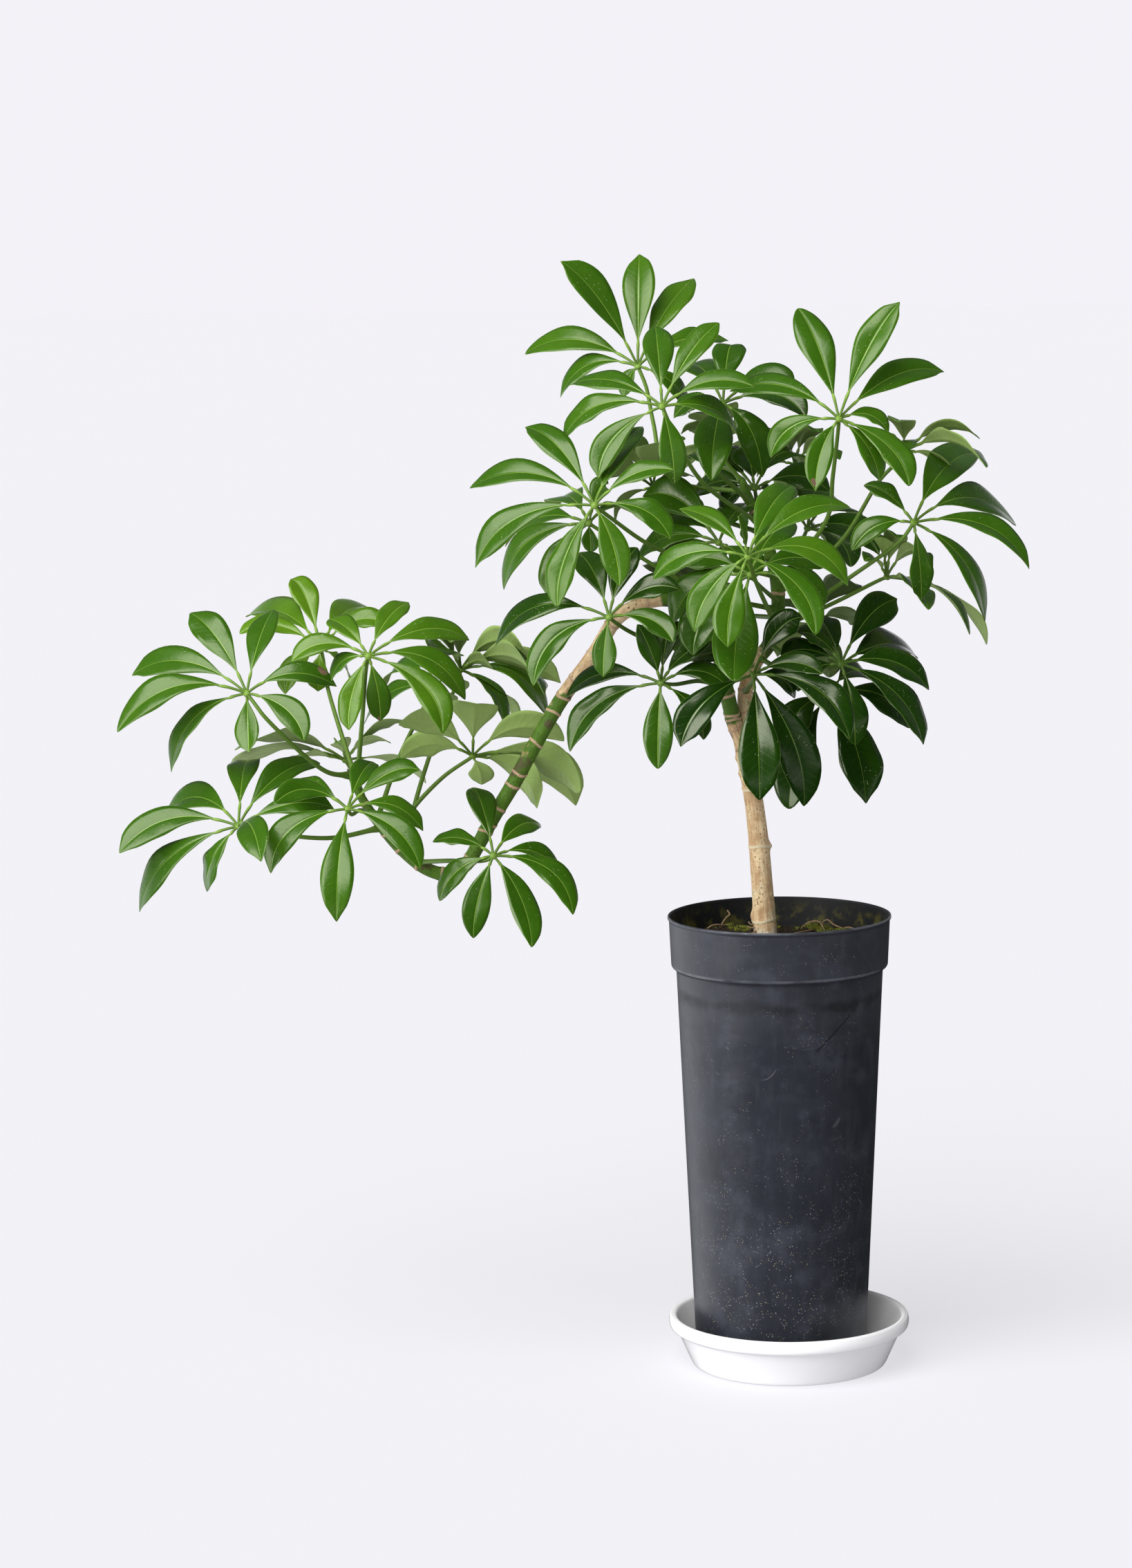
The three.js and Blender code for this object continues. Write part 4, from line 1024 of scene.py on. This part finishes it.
def saucer_finish():
    """Smooth white plastic with faint dust and a little soil in the bottom, and painted light that
    whitens its inside against the pot's shade
    """
    saucer = Finish("white_plastic", IOR=1.45, Specular_IOR_Level=0.25, Coat_Roughness=0.06,
                    Coat_Weight=0.12)
    inner = saucer.value("inside")
    crumbs = saucer.fade(saucer.cells(380), 0.06, 0.12) * saucer.patches(60, 2, 0.6, 0.7)
    saucer.set(Base_Color=saucer.layers(
        saucer.mix(saucer.noise(16, 2), (0.73, 0.73, 0.735), (0.77, 0.77, 0.77)),
        # painted light: the inside is a brighter white than the rest, to offset the pot's shade
        (inner, (0.93, 0.925, 0.92)),
        (crumbs * (0.12 + inner * 0.5), (0.30, 0.27, 0.23)),
        (inner * saucer.patches(35, 3, 0.4, 0.75) * 0.2, (0.74, 0.72, 0.68))))
    saucer.set(Roughness=0.2 + (saucer.noise(45, 3) - 0.5) * 0.1)
    saucer.relief(saucer.noise(24, 2) * 0.4 + saucer.noise(1800, 1) * 0.02, 0.001)
    return saucer.material


# Fronds

def leaflet_master():
    """One leaflet laid flat: x from -1 to 1 across, y from 0 to 1 along, z its two faces"""
    bpy.ops.mesh.primitive_grid_add(x_subdivisions=LEAF_COLUMNS, y_subdivisions=LEAF_ROWS, size=2)
    blade = bpy.context.object
    flat = corners(blade)
    flat[:, 0] = np.sign(flat[:, 0]) * np.abs(flat[:, 0]) ** COLUMN_CROWDING
    flat[:, 1] = 1 - (1 - (flat[:, 1] + 1) / 2) ** ROW_CROWDING
    move_corners(blade, flat)
    apply_modifier(blade, "SOLIDIFY", thickness=2, offset=0)
    mark(blade, "stalk", 0)
    steps = np.linspace(0, 1, STALK_STEPS)
    route = np.stack((0 * steps, steps, 0 * steps), axis=-1)
    stalk = tube("leaflet_stalk", route, np.ones(STALK_STEPS), STALK_SIDES)
    mark(stalk, "stalk", 1)
    return join([blade, stalk], "leaflet_master")


def leaflet_path(hub, still, tip, look, share):
    """The middle of a leaflet at shares of its length, and the ways across and up from it"""
    run = unit(still - hub)
    sag = WORLD_UP - run * run[2]
    rise = LEAFLET_ARCH * look["arch"] * np.linalg.norm(still - hub)
    knee = hub + (still - hub) * look["knee"] + sag * rise * (1 - LEAFLET_ARCH_FALL * run[2])
    hook = sag * look["hook"] * np.linalg.norm(tip - hub) * HOOK_REACH
    left = 1 - share
    middle = left ** 2 * hub + 2 * share * left * knee + share ** 2 * tip + hook * share ** 3 * left
    forward = unit(2 * left * (knee - hub) + 2 * share * (tip - knee)
                   + hook * (3 * share ** 2 - 4 * share ** 3))
    across = np.cross(unit(tip - hub), look["face"])
    across = unit(across - forward * (forward @ across)[:, None])
    above = np.cross(across, forward)
    turn = look["twist"] * share
    return (middle, across * np.cos(turn) + above * np.sin(turn),
            above * np.cos(turn) - across * np.sin(turn))


def half_width(blade, length, hang, look):
    """Half the width of a blade at shares of its length"""
    power = look["taper"] + (look["blunt"] - look["taper"]) * blade
    share = np.sin(math.pi * blade ** look["widest"]) ** power
    share = share * (1 - look["point"] * smooth_step(blade, POINT_START, 1.0))
    widest = (LEAFLET_LEAST_HALF_WIDTH + LEAFLET_WIDENING * length) * look["width"]
    return widest * (1 + LEAFLET_HANGING_WIDTH * hang) * np.maximum(share, TIP_WIDTH_SHARE)


def bend_leaflet(piece, hub, still, tip, look):
    """Shapes a copy of the flat leaflet along its own arch from the hub to its tip"""
    flat = corners(piece)
    x, y, z = flat.T
    is_stalk = marks(piece, "stalk") > 0.5
    length = np.linalg.norm(tip - hub)
    hang = max(-unit(still - hub)[2], 0)
    stalk = LEAFLET_STALK * (1 - HANGING_STALK_CUT * hang)
    share = np.where(is_stalk, y * (stalk + STALK_TUCK), stalk + (1 - stalk) * y)
    middle, across, above = leaflet_path(hub, still, tip, look, share[:, None])

    blade = np.clip(y, 0, BLADE_END)
    half = half_width(blade, length, hang, look)
    side = np.sign(x)
    out = np.abs(x)
    lower = z < 0
    wave = np.sin(2 * math.pi * (look["waves"] * blade + look["phase"] + WAVE_SIDE_SHIFT * side))
    lift = (look["fold"] * out * (1 - out / FOLD_EASING) - look["curl"] * out ** 3
            + look["wave"] * out ** 2 * wave) * half
    thick = BLADE_THICKNESS / 2 * (1 - EDGE_THINNING * out ** 3)
    thick = thick * np.minimum(1, half / THINNING_HALF_WIDTH)
    nerve = np.where(lower, RIB_DEPTH * (1 - RIB_FADE * blade), GROOVE_DEPTH)
    height = lift + np.where(lower, -thick, thick) - (out < NERVE_HALF_WIDTH) * nerve
    wide = x * half * (1 + LEAFLET_UNEVENNESS * look["uneven"] * side)

    radius = STALK_RADIUS + (STALK_JOINT_RADIUS - STALK_RADIUS) * smooth_step(y, *JOINT_SWELL)
    radius = radius * (1 - JOINT_TAPER * smooth_step(y, *JOINT_END))
    wide = np.where(is_stalk, x * radius, wide)
    height = np.where(is_stalk, z * radius - STALK_SINK * smooth_step(y, *STALK_SINKS), height)
    move_corners(piece, middle + across * wide[:, None] + above * height[:, None])

    dry = 0
    if look["dry"]:
        across_at, along_at = look["dry"]
        dry = np.exp(-((x - across_at) / DRY_ACROSS) ** 2 - ((blade - along_at) / DRY_ALONG) ** 2)
    for name, on_blade, on_stalk in (
            ("off_rib", x * half * 1000, FAR_OFF), ("edge", (1 - out) * half * 1000, FAR_OFF),
            ("under", lower, 0), ("joint", 0, smooth_step(y, *JOINT_COLOUR)), ("dry", dry, 0)):
        mark(piece, name, np.where(is_stalk, on_stalk, on_blade))
    mark(piece, "along", blade * length * 1000)
    mark(piece, "tone", look["tone"])


def still_tip(hub, face, tip):
    """Where a leaflet's tip lies before it was bent clear of the others"""
    u, v, *stated = tip
    if stated:
        return place(u, v, hub[1] + stated[0])
    flat = place(u, v, hub[1]) - hub
    reach = math.sqrt(max(LEAFLET_REACH ** 2 - flat @ flat, 0))
    cone = -(LEAFLET_REACH * LEAFLET_DROOP + flat @ face) / face[1]
    return place(u, v, hub[1] + min(max(cone, -reach), reach))


def petiole_places(hub, ways, root, bend):
    """The petiole's course, bowed in depth by bend at its middle"""
    seen = np.array([in_picture(hub), *ways, in_picture(root)])
    lengths = run_along(seen)
    share = lengths / lengths[-1]
    depths = hub[1] + (root[1] - hub[1]) * share + bend * np.sin(math.pi * share)
    return [place(u, v, depth) for (u, v), depth in zip(seen, depths)]


def packed_bend(hub, ways, root, packed):
    """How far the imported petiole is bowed: the bend whose rings meet the node's corners"""
    def misfit(bend):
        route = smooth_route(petiole_places(hub, ways, root, bend), len(PACKED_RINGS) + 1)
        total = 0
        for middle, radius in zip(route[1:-1], PACKED_RINGS):
            off = np.abs(np.linalg.norm(packed - middle, axis=1) - radius)
            total += np.sort(off)[:PACKED_RING_CORNERS].sum()
        return total

    return min(PETIOLE_BENDS, key=misfit)


def petiole_tube(hub, ways, root, packed):
    """The petiole, from its thin end at the hub to its sheath on the stem"""
    bend = packed_bend(hub, ways, root, packed)
    route = smooth_route(petiole_places(hub, ways, root, bend), PETIOLE_STEPS)
    to_root = run_along(route[::-1])[::-1]
    radii = spread([PETIOLE_HUB_RADIUS, PETIOLE_ROOT_RADIUS], PETIOLE_STEPS)
    radii += (PETIOLE_SHEATH_RADIUS - PETIOLE_ROOT_RADIUS) * (
        1 - smooth_step(to_root, *PETIOLE_SHEATH))
    return tube("petiole", route, radii, PETIOLE_SIDES)


def hub_knob(hub, face):
    """The flattened knob where the leaflets meet"""
    bpy.ops.mesh.primitive_ico_sphere_add(subdivisions=2, radius=HUB_RADIUS)
    knob = bpy.context.object
    flat = corners(knob)
    move_corners(knob, flat - HUB_FLATTENING * (flat @ face)[:, None] * face + hub)
    return knob


def frond(name, row, master, finish):
    """A leaf of the plant: its leaflets, hub and petiole as one piece"""
    rng = random.Random(f"{LEAFLET_SEED} {name}")
    hub, face, tone, width, tips, ways, root = row
    hub = place(*hub)
    face = unit(np.array(face, float))
    packed = corners(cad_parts[name])
    seen = in_picture(packed)
    lean = LEAFLET_UP_LEAN * (1 - face[2]) * WORLD_UP
    if face[1] < 0:
        lean = lean - LEAFLET_FRONT_LEAN * max(face[2] - LEVEL_FACE, 0) * AHEAD
    blade_face = BLADE_FACES.get(name, face + lean)
    pieces = []
    for number, tip in enumerate(tips):
        look = {trait: rng.uniform(*ends) for trait, ends in LEAFLET_TRAITS.items()}
        look["width"] *= width
        look["tone"] += tone
        look["face"] = BLADE_FACES.get((name, number), blade_face)
        look["dry"] = DRY_PLACES.get((name, number))
        nearest = np.argmin(np.linalg.norm(seen - np.array(tip[:2]), axis=1))
        packed_tip = place(tip[0], tip[1], packed[nearest][1])
        leaflet = added("leaflet", master.data.copy())
        bend_leaflet(leaflet, hub, still_tip(hub, face, tip), packed_tip, look)
        pieces.append(leaflet)

    petiole = petiole_tube(hub, ways, place(*root), packed)
    for part, joint in ((petiole, 0), (hub_knob(hub, face), HUB_JOINT_COLOUR)):
        for value_name, value in (("stalk", 1), ("off_rib", FAR_OFF), ("edge", FAR_OFF),
                                  ("tone", tone), ("joint", joint)):
            mark(part, value_name, value)
        pieces.append(part)
    piece = join(pieces, name + "_leaves")
    smooth(piece)
    hand_in(piece, finish, name)


def fronds():
    master = leaflet_master()
    finish = leaf_finish()
    for name, row in FRONDS.items():
        frond(name, row, master, finish)
    bpy.data.objects.remove(master)


# The stem

def stem_stretch(name, rows):
    """A stretch's round bar, and its route, lengths, greens, forward ways and ring scars"""
    route = smooth_route([place(*row[:3]) for row in rows], STEM_STEPS)
    radii = spread([row[3] for row in rows], STEM_STEPS)
    if name != "trunk":
        to_end = STEM_STEPS - np.arange(STEM_STEPS + 1)
        radii = radii * np.sqrt(np.clip(to_end / STEM_TIP_STEPS, STEM_TIP_LEAST, 1))
    lengths = run_along(route)
    greens = spread([row[4] for row in rows], STEM_STEPS)
    forward = unit(np.gradient(route, axis=0))
    seen = in_picture(route)
    scars = [lengths[np.argmin(np.linalg.norm(seen - np.array(scar), axis=1))]
             for scar in RING_SCARS[name]]
    return tube(name, route, radii, STEM_SIDES), (route, lengths, greens, forward, scars)


def scar_share(run, turn, scars):
    """How much of a ring scar there is at a place along and round the stem, from 0 to 1"""
    share = 0
    for order, at in enumerate(scars):
        tilt = SCAR_TILT * math.sin(turn + order * 2.1) + SCAR_WAVER * math.sin(3 * turn + order)
        gap = (run - at - tilt) / SCAR_REACH
        if abs(gap) < SCAR_LIMIT:
            share = max(share, math.exp(-gap * gap))
    return share


def raise_knots(places, tree):
    """Swells the stem's corners out round each knot"""
    for u, v, height, reach in KNOTS:
        middle = place(u, v, 0)
        gap = np.linalg.norm(places - middle, axis=1)
        spoke = unit(middle - np.array(tree.find(middle)[0]))
        places += spoke * height * np.exp(-(gap / reach) ** 2)[:, None]


def stem():
    """Trunk, crown stem and branch as one grown piece, with its ring scars and knots"""
    bars, samples = zip(*(stem_stretch(name, rows) for name, rows in STEM.items()))
    piece = join(bars, "stem_bark")
    apply_modifier(piece, "REMESH", mode="VOXEL", voxel_size=STEM_VOXEL)
    apply_modifier(piece, "SMOOTH", factor=0.5, iterations=STEM_SMOOTHING)

    owners = [(number, step) for number in range(len(samples)) for step in range(STEM_STEPS + 1)]
    tree = kdtree.KDTree(len(owners))
    for index, (number, step) in enumerate(owners):
        tree.insert(samples[number][0][step], index)
    tree.balance()

    places = corners(piece)
    green = np.zeros(len(places))
    scar = np.zeros(len(places))
    round_stem = np.zeros((len(places), 3))
    for corner, point in enumerate(places):
        number, step = owners[tree.find(point)[1]]
        route, lengths, greens, forward, scars = samples[number]
        offset = point - route[step]
        run = lengths[step] + offset @ forward[step]
        spoke = offset - forward[step] * (offset @ forward[step])
        radius = np.linalg.norm(spoke)
        out = spoke / max(radius, 1e-6)
        turn = math.atan2(out @ ACROSS_VIEW, -out @ AHEAD)
        green[corner] = greens[step]
        scar[corner] = scar_share(run, turn, scars)
        round_stem[corner] = (radius * math.cos(turn), radius * math.sin(turn),
                              run + STRETCH_SHIFT * number)
        places[corner] = point + out * SCAR_HEIGHT * scar[corner]
    raise_knots(places, tree)
    move_corners(piece, places)
    mark(piece, "green", green)
    mark(piece, "scar", scar)
    layer = piece.data.attributes.new("round_stem", "FLOAT_VECTOR", "POINT")
    layer.data.foreach_set("vector", round_stem.astype(np.float32).ravel())
    smooth(piece)
    hand_in(piece, bark_finish(), "stem")


# Pot and saucer

def mark_inside(piece, middle_x=0.0):
    """Marks the corners whose faces look towards the axis"""
    places = corners(piece)
    normals = np.empty(len(places) * 3, np.float32)
    piece.data.vertices.foreach_get("normal", normals)
    normals = normals.reshape(-1, 3)
    outward = normals[:, 0] * (places[:, 0] - middle_x) + normals[:, 1] * places[:, 1]
    mark(piece, "inside", outward < 0)


def drill_drains(piece):
    """Cuts the ring of drain holes through the pot's floor"""
    for hole in range(DRAIN_HOLES):
        turn = 2 * math.pi * hole / DRAIN_HOLES
        x, y = POT_X + DRAIN_CIRCLE * math.cos(turn), DRAIN_CIRCLE * math.sin(turn)
        bpy.ops.mesh.primitive_cylinder_add(vertices=DRILL_SIDES, radius=DRAIN_RADIUS,
                                            depth=DRILL_LENGTH, location=(x, y, POT_FOOT))
        drill = bpy.context.object
        apply_modifier(piece, "BOOLEAN", operation="DIFFERENCE", object=drill, solver="EXACT")
        bpy.data.objects.remove(drill)


def pot():
    """The moulded pot: tapered wall, deep collar, thin lip, foot ring and drain holes"""
    foot_inside = POT_FOOT_RADIUS - POT_FOOT_RING
    piece = turned("pot_shell", rounded([
        (0, POT_UNDERSIDE, 0),
        (foot_inside, POT_UNDERSIDE, 0.001),
        (foot_inside + 0.001, POT_FOOT, 0.0006),
        (POT_FOOT_RADIUS, POT_FOOT, 0.0025),
        (POT_BODY_TOP_RADIUS, POT_COLLAR_FOOT - 0.0032, 0.0016),
        (POT_COLLAR_FOOT_RADIUS, POT_COLLAR_FOOT - 0.0012, 0.0034),
        (POT_RIM_RADIUS - 0.0011, POT_TOP - POT_LIP - 0.0012, 0.0008),
        (POT_RIM_RADIUS, POT_TOP - POT_LIP - 0.0001, 0.0005),
        (POT_RIM_RADIUS, POT_TOP, 0.0009),
        (POT_RIM_RADIUS - POT_WALL, POT_TOP, 0.0009),
        (POT_COLLAR_FOOT_RADIUS - POT_WALL, COLLAR_INNER_FOOT, 0.002),
        (POT_BODY_TOP_RADIUS - POT_WALL, BODY_INNER_TOP, 0.002),
        (POT_FOOT_RADIUS - POT_WALL, POT_FLOOR_TOP, 0.003),
        (0, POT_FLOOR_TOP, 0),
    ]), POT_X)
    drill_drains(piece)
    places = corners(piece)
    turn = np.arctan2(places[:, 1], places[:, 0] - POT_X)
    share = smooth_step(places[:, 2], POT_STIFF_HEIGHT, POT_TOP)
    swell = share * (0.0005 * np.sin(2 * turn + 0.7) + 0.0003 * np.sin(3 * turn + 2))
    spoke = np.stack((np.cos(turn), np.sin(turn)), axis=-1)
    places[:, :2] += spoke * swell[:, None] + POT_LEAN * share[:, None]
    move_corners(piece, places)
    mark_inside(piece, POT_X)
    smooth(piece, 50)
    hand_in(piece, pot_finish(), "pot")


def saucer():
    """The white saucer: flat foot, flared wall and thick rolled rim"""
    roll_foot = SAUCER_HEIGHT - SAUCER_ROLL_HEIGHT
    wall_top = SAUCER_RADIUS - SAUCER_ROLL_WIDTH
    inner_foot = SAUCER_FOOT_RADIUS - SAUCER_WALL
    piece = turned("saucer_shell", rounded([
        (0, 0, 0),
        (SAUCER_FOOT_RADIUS - 0.0012, 0, 0.002),
        (SAUCER_FOOT_RADIUS + 0.0004, 0.0022, 0.002),
        (wall_top, roll_foot - 0.0016, 0.0022),
        (SAUCER_RADIUS - 0.0012, roll_foot - 0.0004, 0.0035),
        (SAUCER_RADIUS, roll_foot + 0.0045, 0.004),
        (SAUCER_RADIUS - 0.0014, SAUCER_HEIGHT, 0.0046),
        (SAUCER_RADIUS - 0.0062, SAUCER_HEIGHT - 0.0004, 0.004),
        (wall_top - 0.0024, roll_foot + 0.003, 0.004),
        (inner_foot + 0.001, SAUCER_FLOOR + 0.0022, 0.004),
        (inner_foot - 0.004, SAUCER_FLOOR, 0.004),
        (0, SAUCER_FLOOR, 0),
    ], arc_steps=7))
    mark_inside(piece)
    smooth(piece, 50)
    hand_in(piece, saucer_finish(), "saucer")


# Soil, and what lies and grows on it

def soil_height(across, back):
    """The soil's height at a place, measured from the pot's middle"""
    out = np.hypot(across, back)
    height = SOIL_TOP + 0.0016 * np.sin(61 * across + 1.3) * np.cos(47 * back - 0.4)
    height += 0.0009 * np.sin(173 * across - 88 * back + 2)
    height += 0.0006 * np.sin(260 * back + 90 * across)
    height += MOUND_HEIGHT * np.exp(-(out / MOUND_REACH) ** 2)
    return height - SOIL_EDGE_DIP * smooth_step(out, SOIL_RADIUS - SOIL_EDGE, SOIL_RADIUS)


def moss_share(across, back):
    share = 0
    for x, y, reach in MOSS_PATCHES:
        share = np.maximum(share, np.exp(-((across - x) ** 2 + (back - y) ** 2) / reach ** 2))
    return share


def scatter(name, model, count, rng, sizes, wanted, rise):
    """Copies of a small model, each its own mesh, strewn over the soil and joined"""
    flat = corners(model)
    copies = []
    while len(copies) < count:
        turn = rng.uniform(0, 2 * math.pi)
        out = (SOIL_RADIUS - SOIL_MARGIN) * math.sqrt(rng.random())
        across, back = out * math.cos(turn), out * math.sin(turn)
        if rng.random() > wanted(across, back):
            continue
        size = rng.uniform(*sizes)
        spin = rng.uniform(0, 2 * math.pi)
        stretch = np.array([rng.uniform(*ends) for ends in STRETCHES])
        spun = flat * stretch * size @ np.array(Matrix.Rotation(spin, 3, "Z")).T
        copy = added(name, model.data.copy())
        move_corners(copy, spun + (POT_X + across, back, soil_height(across, back) + rise * size))
        copies.append(copy)
    bpy.data.objects.remove(model)
    return join(copies, name)


def soil_body():
    """The soil: an uneven top on a body that fills the pot"""
    bpy.ops.mesh.primitive_grid_add(x_subdivisions=SOIL_CELLS, y_subdivisions=SOIL_CELLS, size=2)
    piece = bpy.context.object
    square = corners(piece)
    round_x = square[:, 0] * np.sqrt(1 - square[:, 1] ** 2 / 2)
    round_y = square[:, 1] * np.sqrt(1 - square[:, 0] ** 2 / 2)
    radius = SOIL_RADIUS - SOIL_GAP
    top = np.stack((round_x, round_y), axis=-1) * radius
    rng = np.random.default_rng(SOIL_SEED)
    rough = rng.normal(0, SOIL_ROUGHNESS, len(top)) * (np.hypot(*top.T) < SOIL_RADIUS - SOIL_MARGIN)
    move_corners(piece, np.column_stack((top, soil_height(*top.T) + rough)))
    select(piece)
    bpy.ops.object.mode_set(mode="EDIT")
    bpy.ops.mesh.select_all(action="DESELECT")
    bpy.ops.mesh.select_non_manifold()
    height = SOIL_TOP
    for next_radius, next_height in (
            (POT_COLLAR_FOOT_RADIUS - POT_WALL - SOIL_GAP, COLLAR_INNER_FOOT),
            (POT_BODY_TOP_RADIUS - POT_WALL - SOIL_GAP, BODY_INNER_TOP),
            (POT_FOOT_RADIUS - POT_WALL - 0.0016, POT_FLOOR_TOP + SOIL_GAP + 0.001)):
        bpy.ops.mesh.extrude_region_move(
            TRANSFORM_OT_translate={"value": (0, 0, next_height - height)})
        share = next_radius / radius
        bpy.ops.transform.resize(value=(share, share, 1), center_override=(0, 0, next_height))
        radius, height = next_radius, next_height
    bpy.ops.mesh.edge_face_add()
    bpy.ops.mesh.select_all(action="SELECT")
    bpy.ops.mesh.normals_make_consistent(inside=False)
    bpy.ops.object.mode_set(mode="OBJECT")
    places = corners(piece)
    mark(piece, "moss", moss_share(places[:, 0], places[:, 1]))
    places[:, 0] += POT_X
    move_corners(piece, places)
    piece.name = "soil_fill"
    smooth(piece, 60)
    return piece


def crumb_model():
    """A lumpy crumb of soil"""
    bpy.ops.mesh.primitive_ico_sphere_add(subdivisions=2, radius=1)
    crumb = bpy.context.object
    rng = np.random.default_rng(SOIL_SEED + 1)
    flat = corners(crumb)
    move_corners(crumb, flat * rng.uniform(*CRUMB_LUMPS, (len(flat), 1)))
    return crumb


def tuft_model():
    """A tuft of moss: short pointed blades leaning out from one root"""
    rng = random.Random(SOIL_SEED + 2)
    blades = []
    for blade in range(TUFT_BLADES):
        bpy.ops.mesh.primitive_cone_add(vertices=3, radius1=TUFT_BLADE_RADIUS, radius2=0, depth=1)
        spike = bpy.context.object
        flat = corners(spike)
        lean = rng.uniform(*TUFT_LEANS)
        turn = 2 * math.pi * blade / TUFT_BLADES + rng.uniform(*TUFT_TURNS)
        rise = flat[:, 2] + 0.5
        flat[:, 2] = rise * rng.uniform(*TUFT_BLADE_HEIGHTS)
        flat[:, 0] += math.cos(turn) * (TUFT_BLADE_START + lean * rise)
        flat[:, 1] += math.sin(turn) * (TUFT_BLADE_START + lean * rise)
        move_corners(spike, flat)
        blades.append(spike)
    return join(blades, "tuft")


def surface_roots():
    """Thin roots and root stubs that lie on the soil, each swollen at its middle"""
    radii = ROOT_RADIUS * (0.6 + 0.5 * np.sin(np.linspace(0.5, 2.6, ROOT_STEPS + 1)))
    strands = []
    for row in ROOTS:
        route = [(POT_X + x, y, soil_height(x, y) + rise - ROOT_RADIUS) for x, y, rise in row]
        strands.append(tube("strand", smooth_route(route, ROOT_STEPS), radii, ROOT_SIDES))
    roots = join(strands, "surface_roots")
    smooth(roots)
    return roots


def soil():
    rng = random.Random(SOIL_SEED)
    finish = soil_finish()
    hand_in(soil_body(), finish, "soil")
    crumbs = scatter("soil_crumbs", crumb_model(), CRUMBS, rng, CRUMB_SIZES,
                     lambda across, back: 1, CRUMB_RISE)
    places = corners(crumbs)
    mark(crumbs, "moss", CRUMB_MOSS * moss_share(places[:, 0] - POT_X, places[:, 1]))
    smooth(crumbs, 40)
    hand_in(crumbs, finish)
    moss = scatter("moss_tufts", tuft_model(), MOSS_TUFTS, rng, TUFT_SIZES,
                   lambda across, back: moss_share(across, back) ** 2, TUFT_RISE)
    smooth(moss, 60)
    hand_in(moss, moss_finish())
    hand_in(surface_roots(), root_finish())


# Camera, floor and light

def aimed(right, up, back, at=(0, 0, 0)):
    """How a camera or light stands, from where its right, top and back point"""
    return Matrix.Translation(at) @ Matrix((right, up, back)).transposed().to_4x4()


def camera():
    data = bpy.data.cameras.new("camera")
    data.sensor_width = SENSOR
    data.lens = SENSOR * FOCAL / PICTURE_HEIGHT
    seen_from = added("camera", data)
    seen_from.matrix_world = aimed(ACROSS_VIEW, UP_VIEW, -AHEAD, EYE)
    bpy.context.scene.camera = seen_from


def floor():
    bpy.ops.mesh.primitive_grid_add(x_subdivisions=8, y_subdivisions=8, size=FLOOR_SIZE,
                                    location=(0, 0, FLOOR_HEIGHT))
    piece = bpy.context.object
    piece.name = "floor"
    finish = Finish("pale_floor", Roughness=0.8, Specular_IOR_Level=0.1,
                    Emission_Color=FLOOR_GLOW, Emission_Strength=1.0)
    finish.set(Base_Color=finish.mix(finish.noise(1.5, 2), FLOOR_SHADE, PALE_SHADE))
    piece.data.materials.append(finish.material)
    piece.visible_glossy = False


def sun(name, strength, toward, wide_degrees):
    """A wide soft light from far away"""
    data = bpy.data.lights.new(name, "SUN")
    data.energy = strength
    data.angle = math.radians(wide_degrees)
    light = added(name, data)
    back = unit(np.array(toward, float))
    right = unit(np.cross(WORLD_UP, back))
    light.matrix_world = aimed(right, np.cross(back, right), back)
    return light


def sky():
    """A pale room: bright round the horizon and behind the plant, dimmer above and in front"""
    world = bpy.data.worlds.new("studio")
    bpy.context.scene.world = world
    room = NodeTree(world, "Generated")
    across, back, up = (room.axis(number) for number in range(3))
    above = room.mix(room.step(back, -0.35, 0.35), SKY_IN_FRONT, SKY_BEHIND)
    level = room.mix(room.step(back, -0.4, 0.85), HORIZON_IN_FRONT, PALE)
    level = room.mix(room.step(up, 0.03, 0.06), PALE, level)
    over = room.mix(room.step(up, 0.06, 0.22), level, above)
    low = room.mix(room.fade(across, -0.8, -0.2), LOW_RIGHT, LOW_LEFT)
    low = room.mix(room.step(back, -0.3, 0.1), LOW_RIGHT, low)
    colour = room.mix(room.fade(up, -0.12, -0.035), over, low)
    room.put(room.nodes["Background"].inputs["Color"], colour)


fronds()
stem()
pot()
saucer()
soil()
camera()
floor()
sky()
sun("key", 4.15, (-0.6, -0.8, 1.12), 50)
sun("window", 2.3, (-2.2, -1.4, 0.3), 45)
fill = sun("fill", 0.42, (1.2, -1.6, 1.0), 80)
fill.visible_glossy = False
bpy.context.scene.view_settings.view_transform = "Standard"
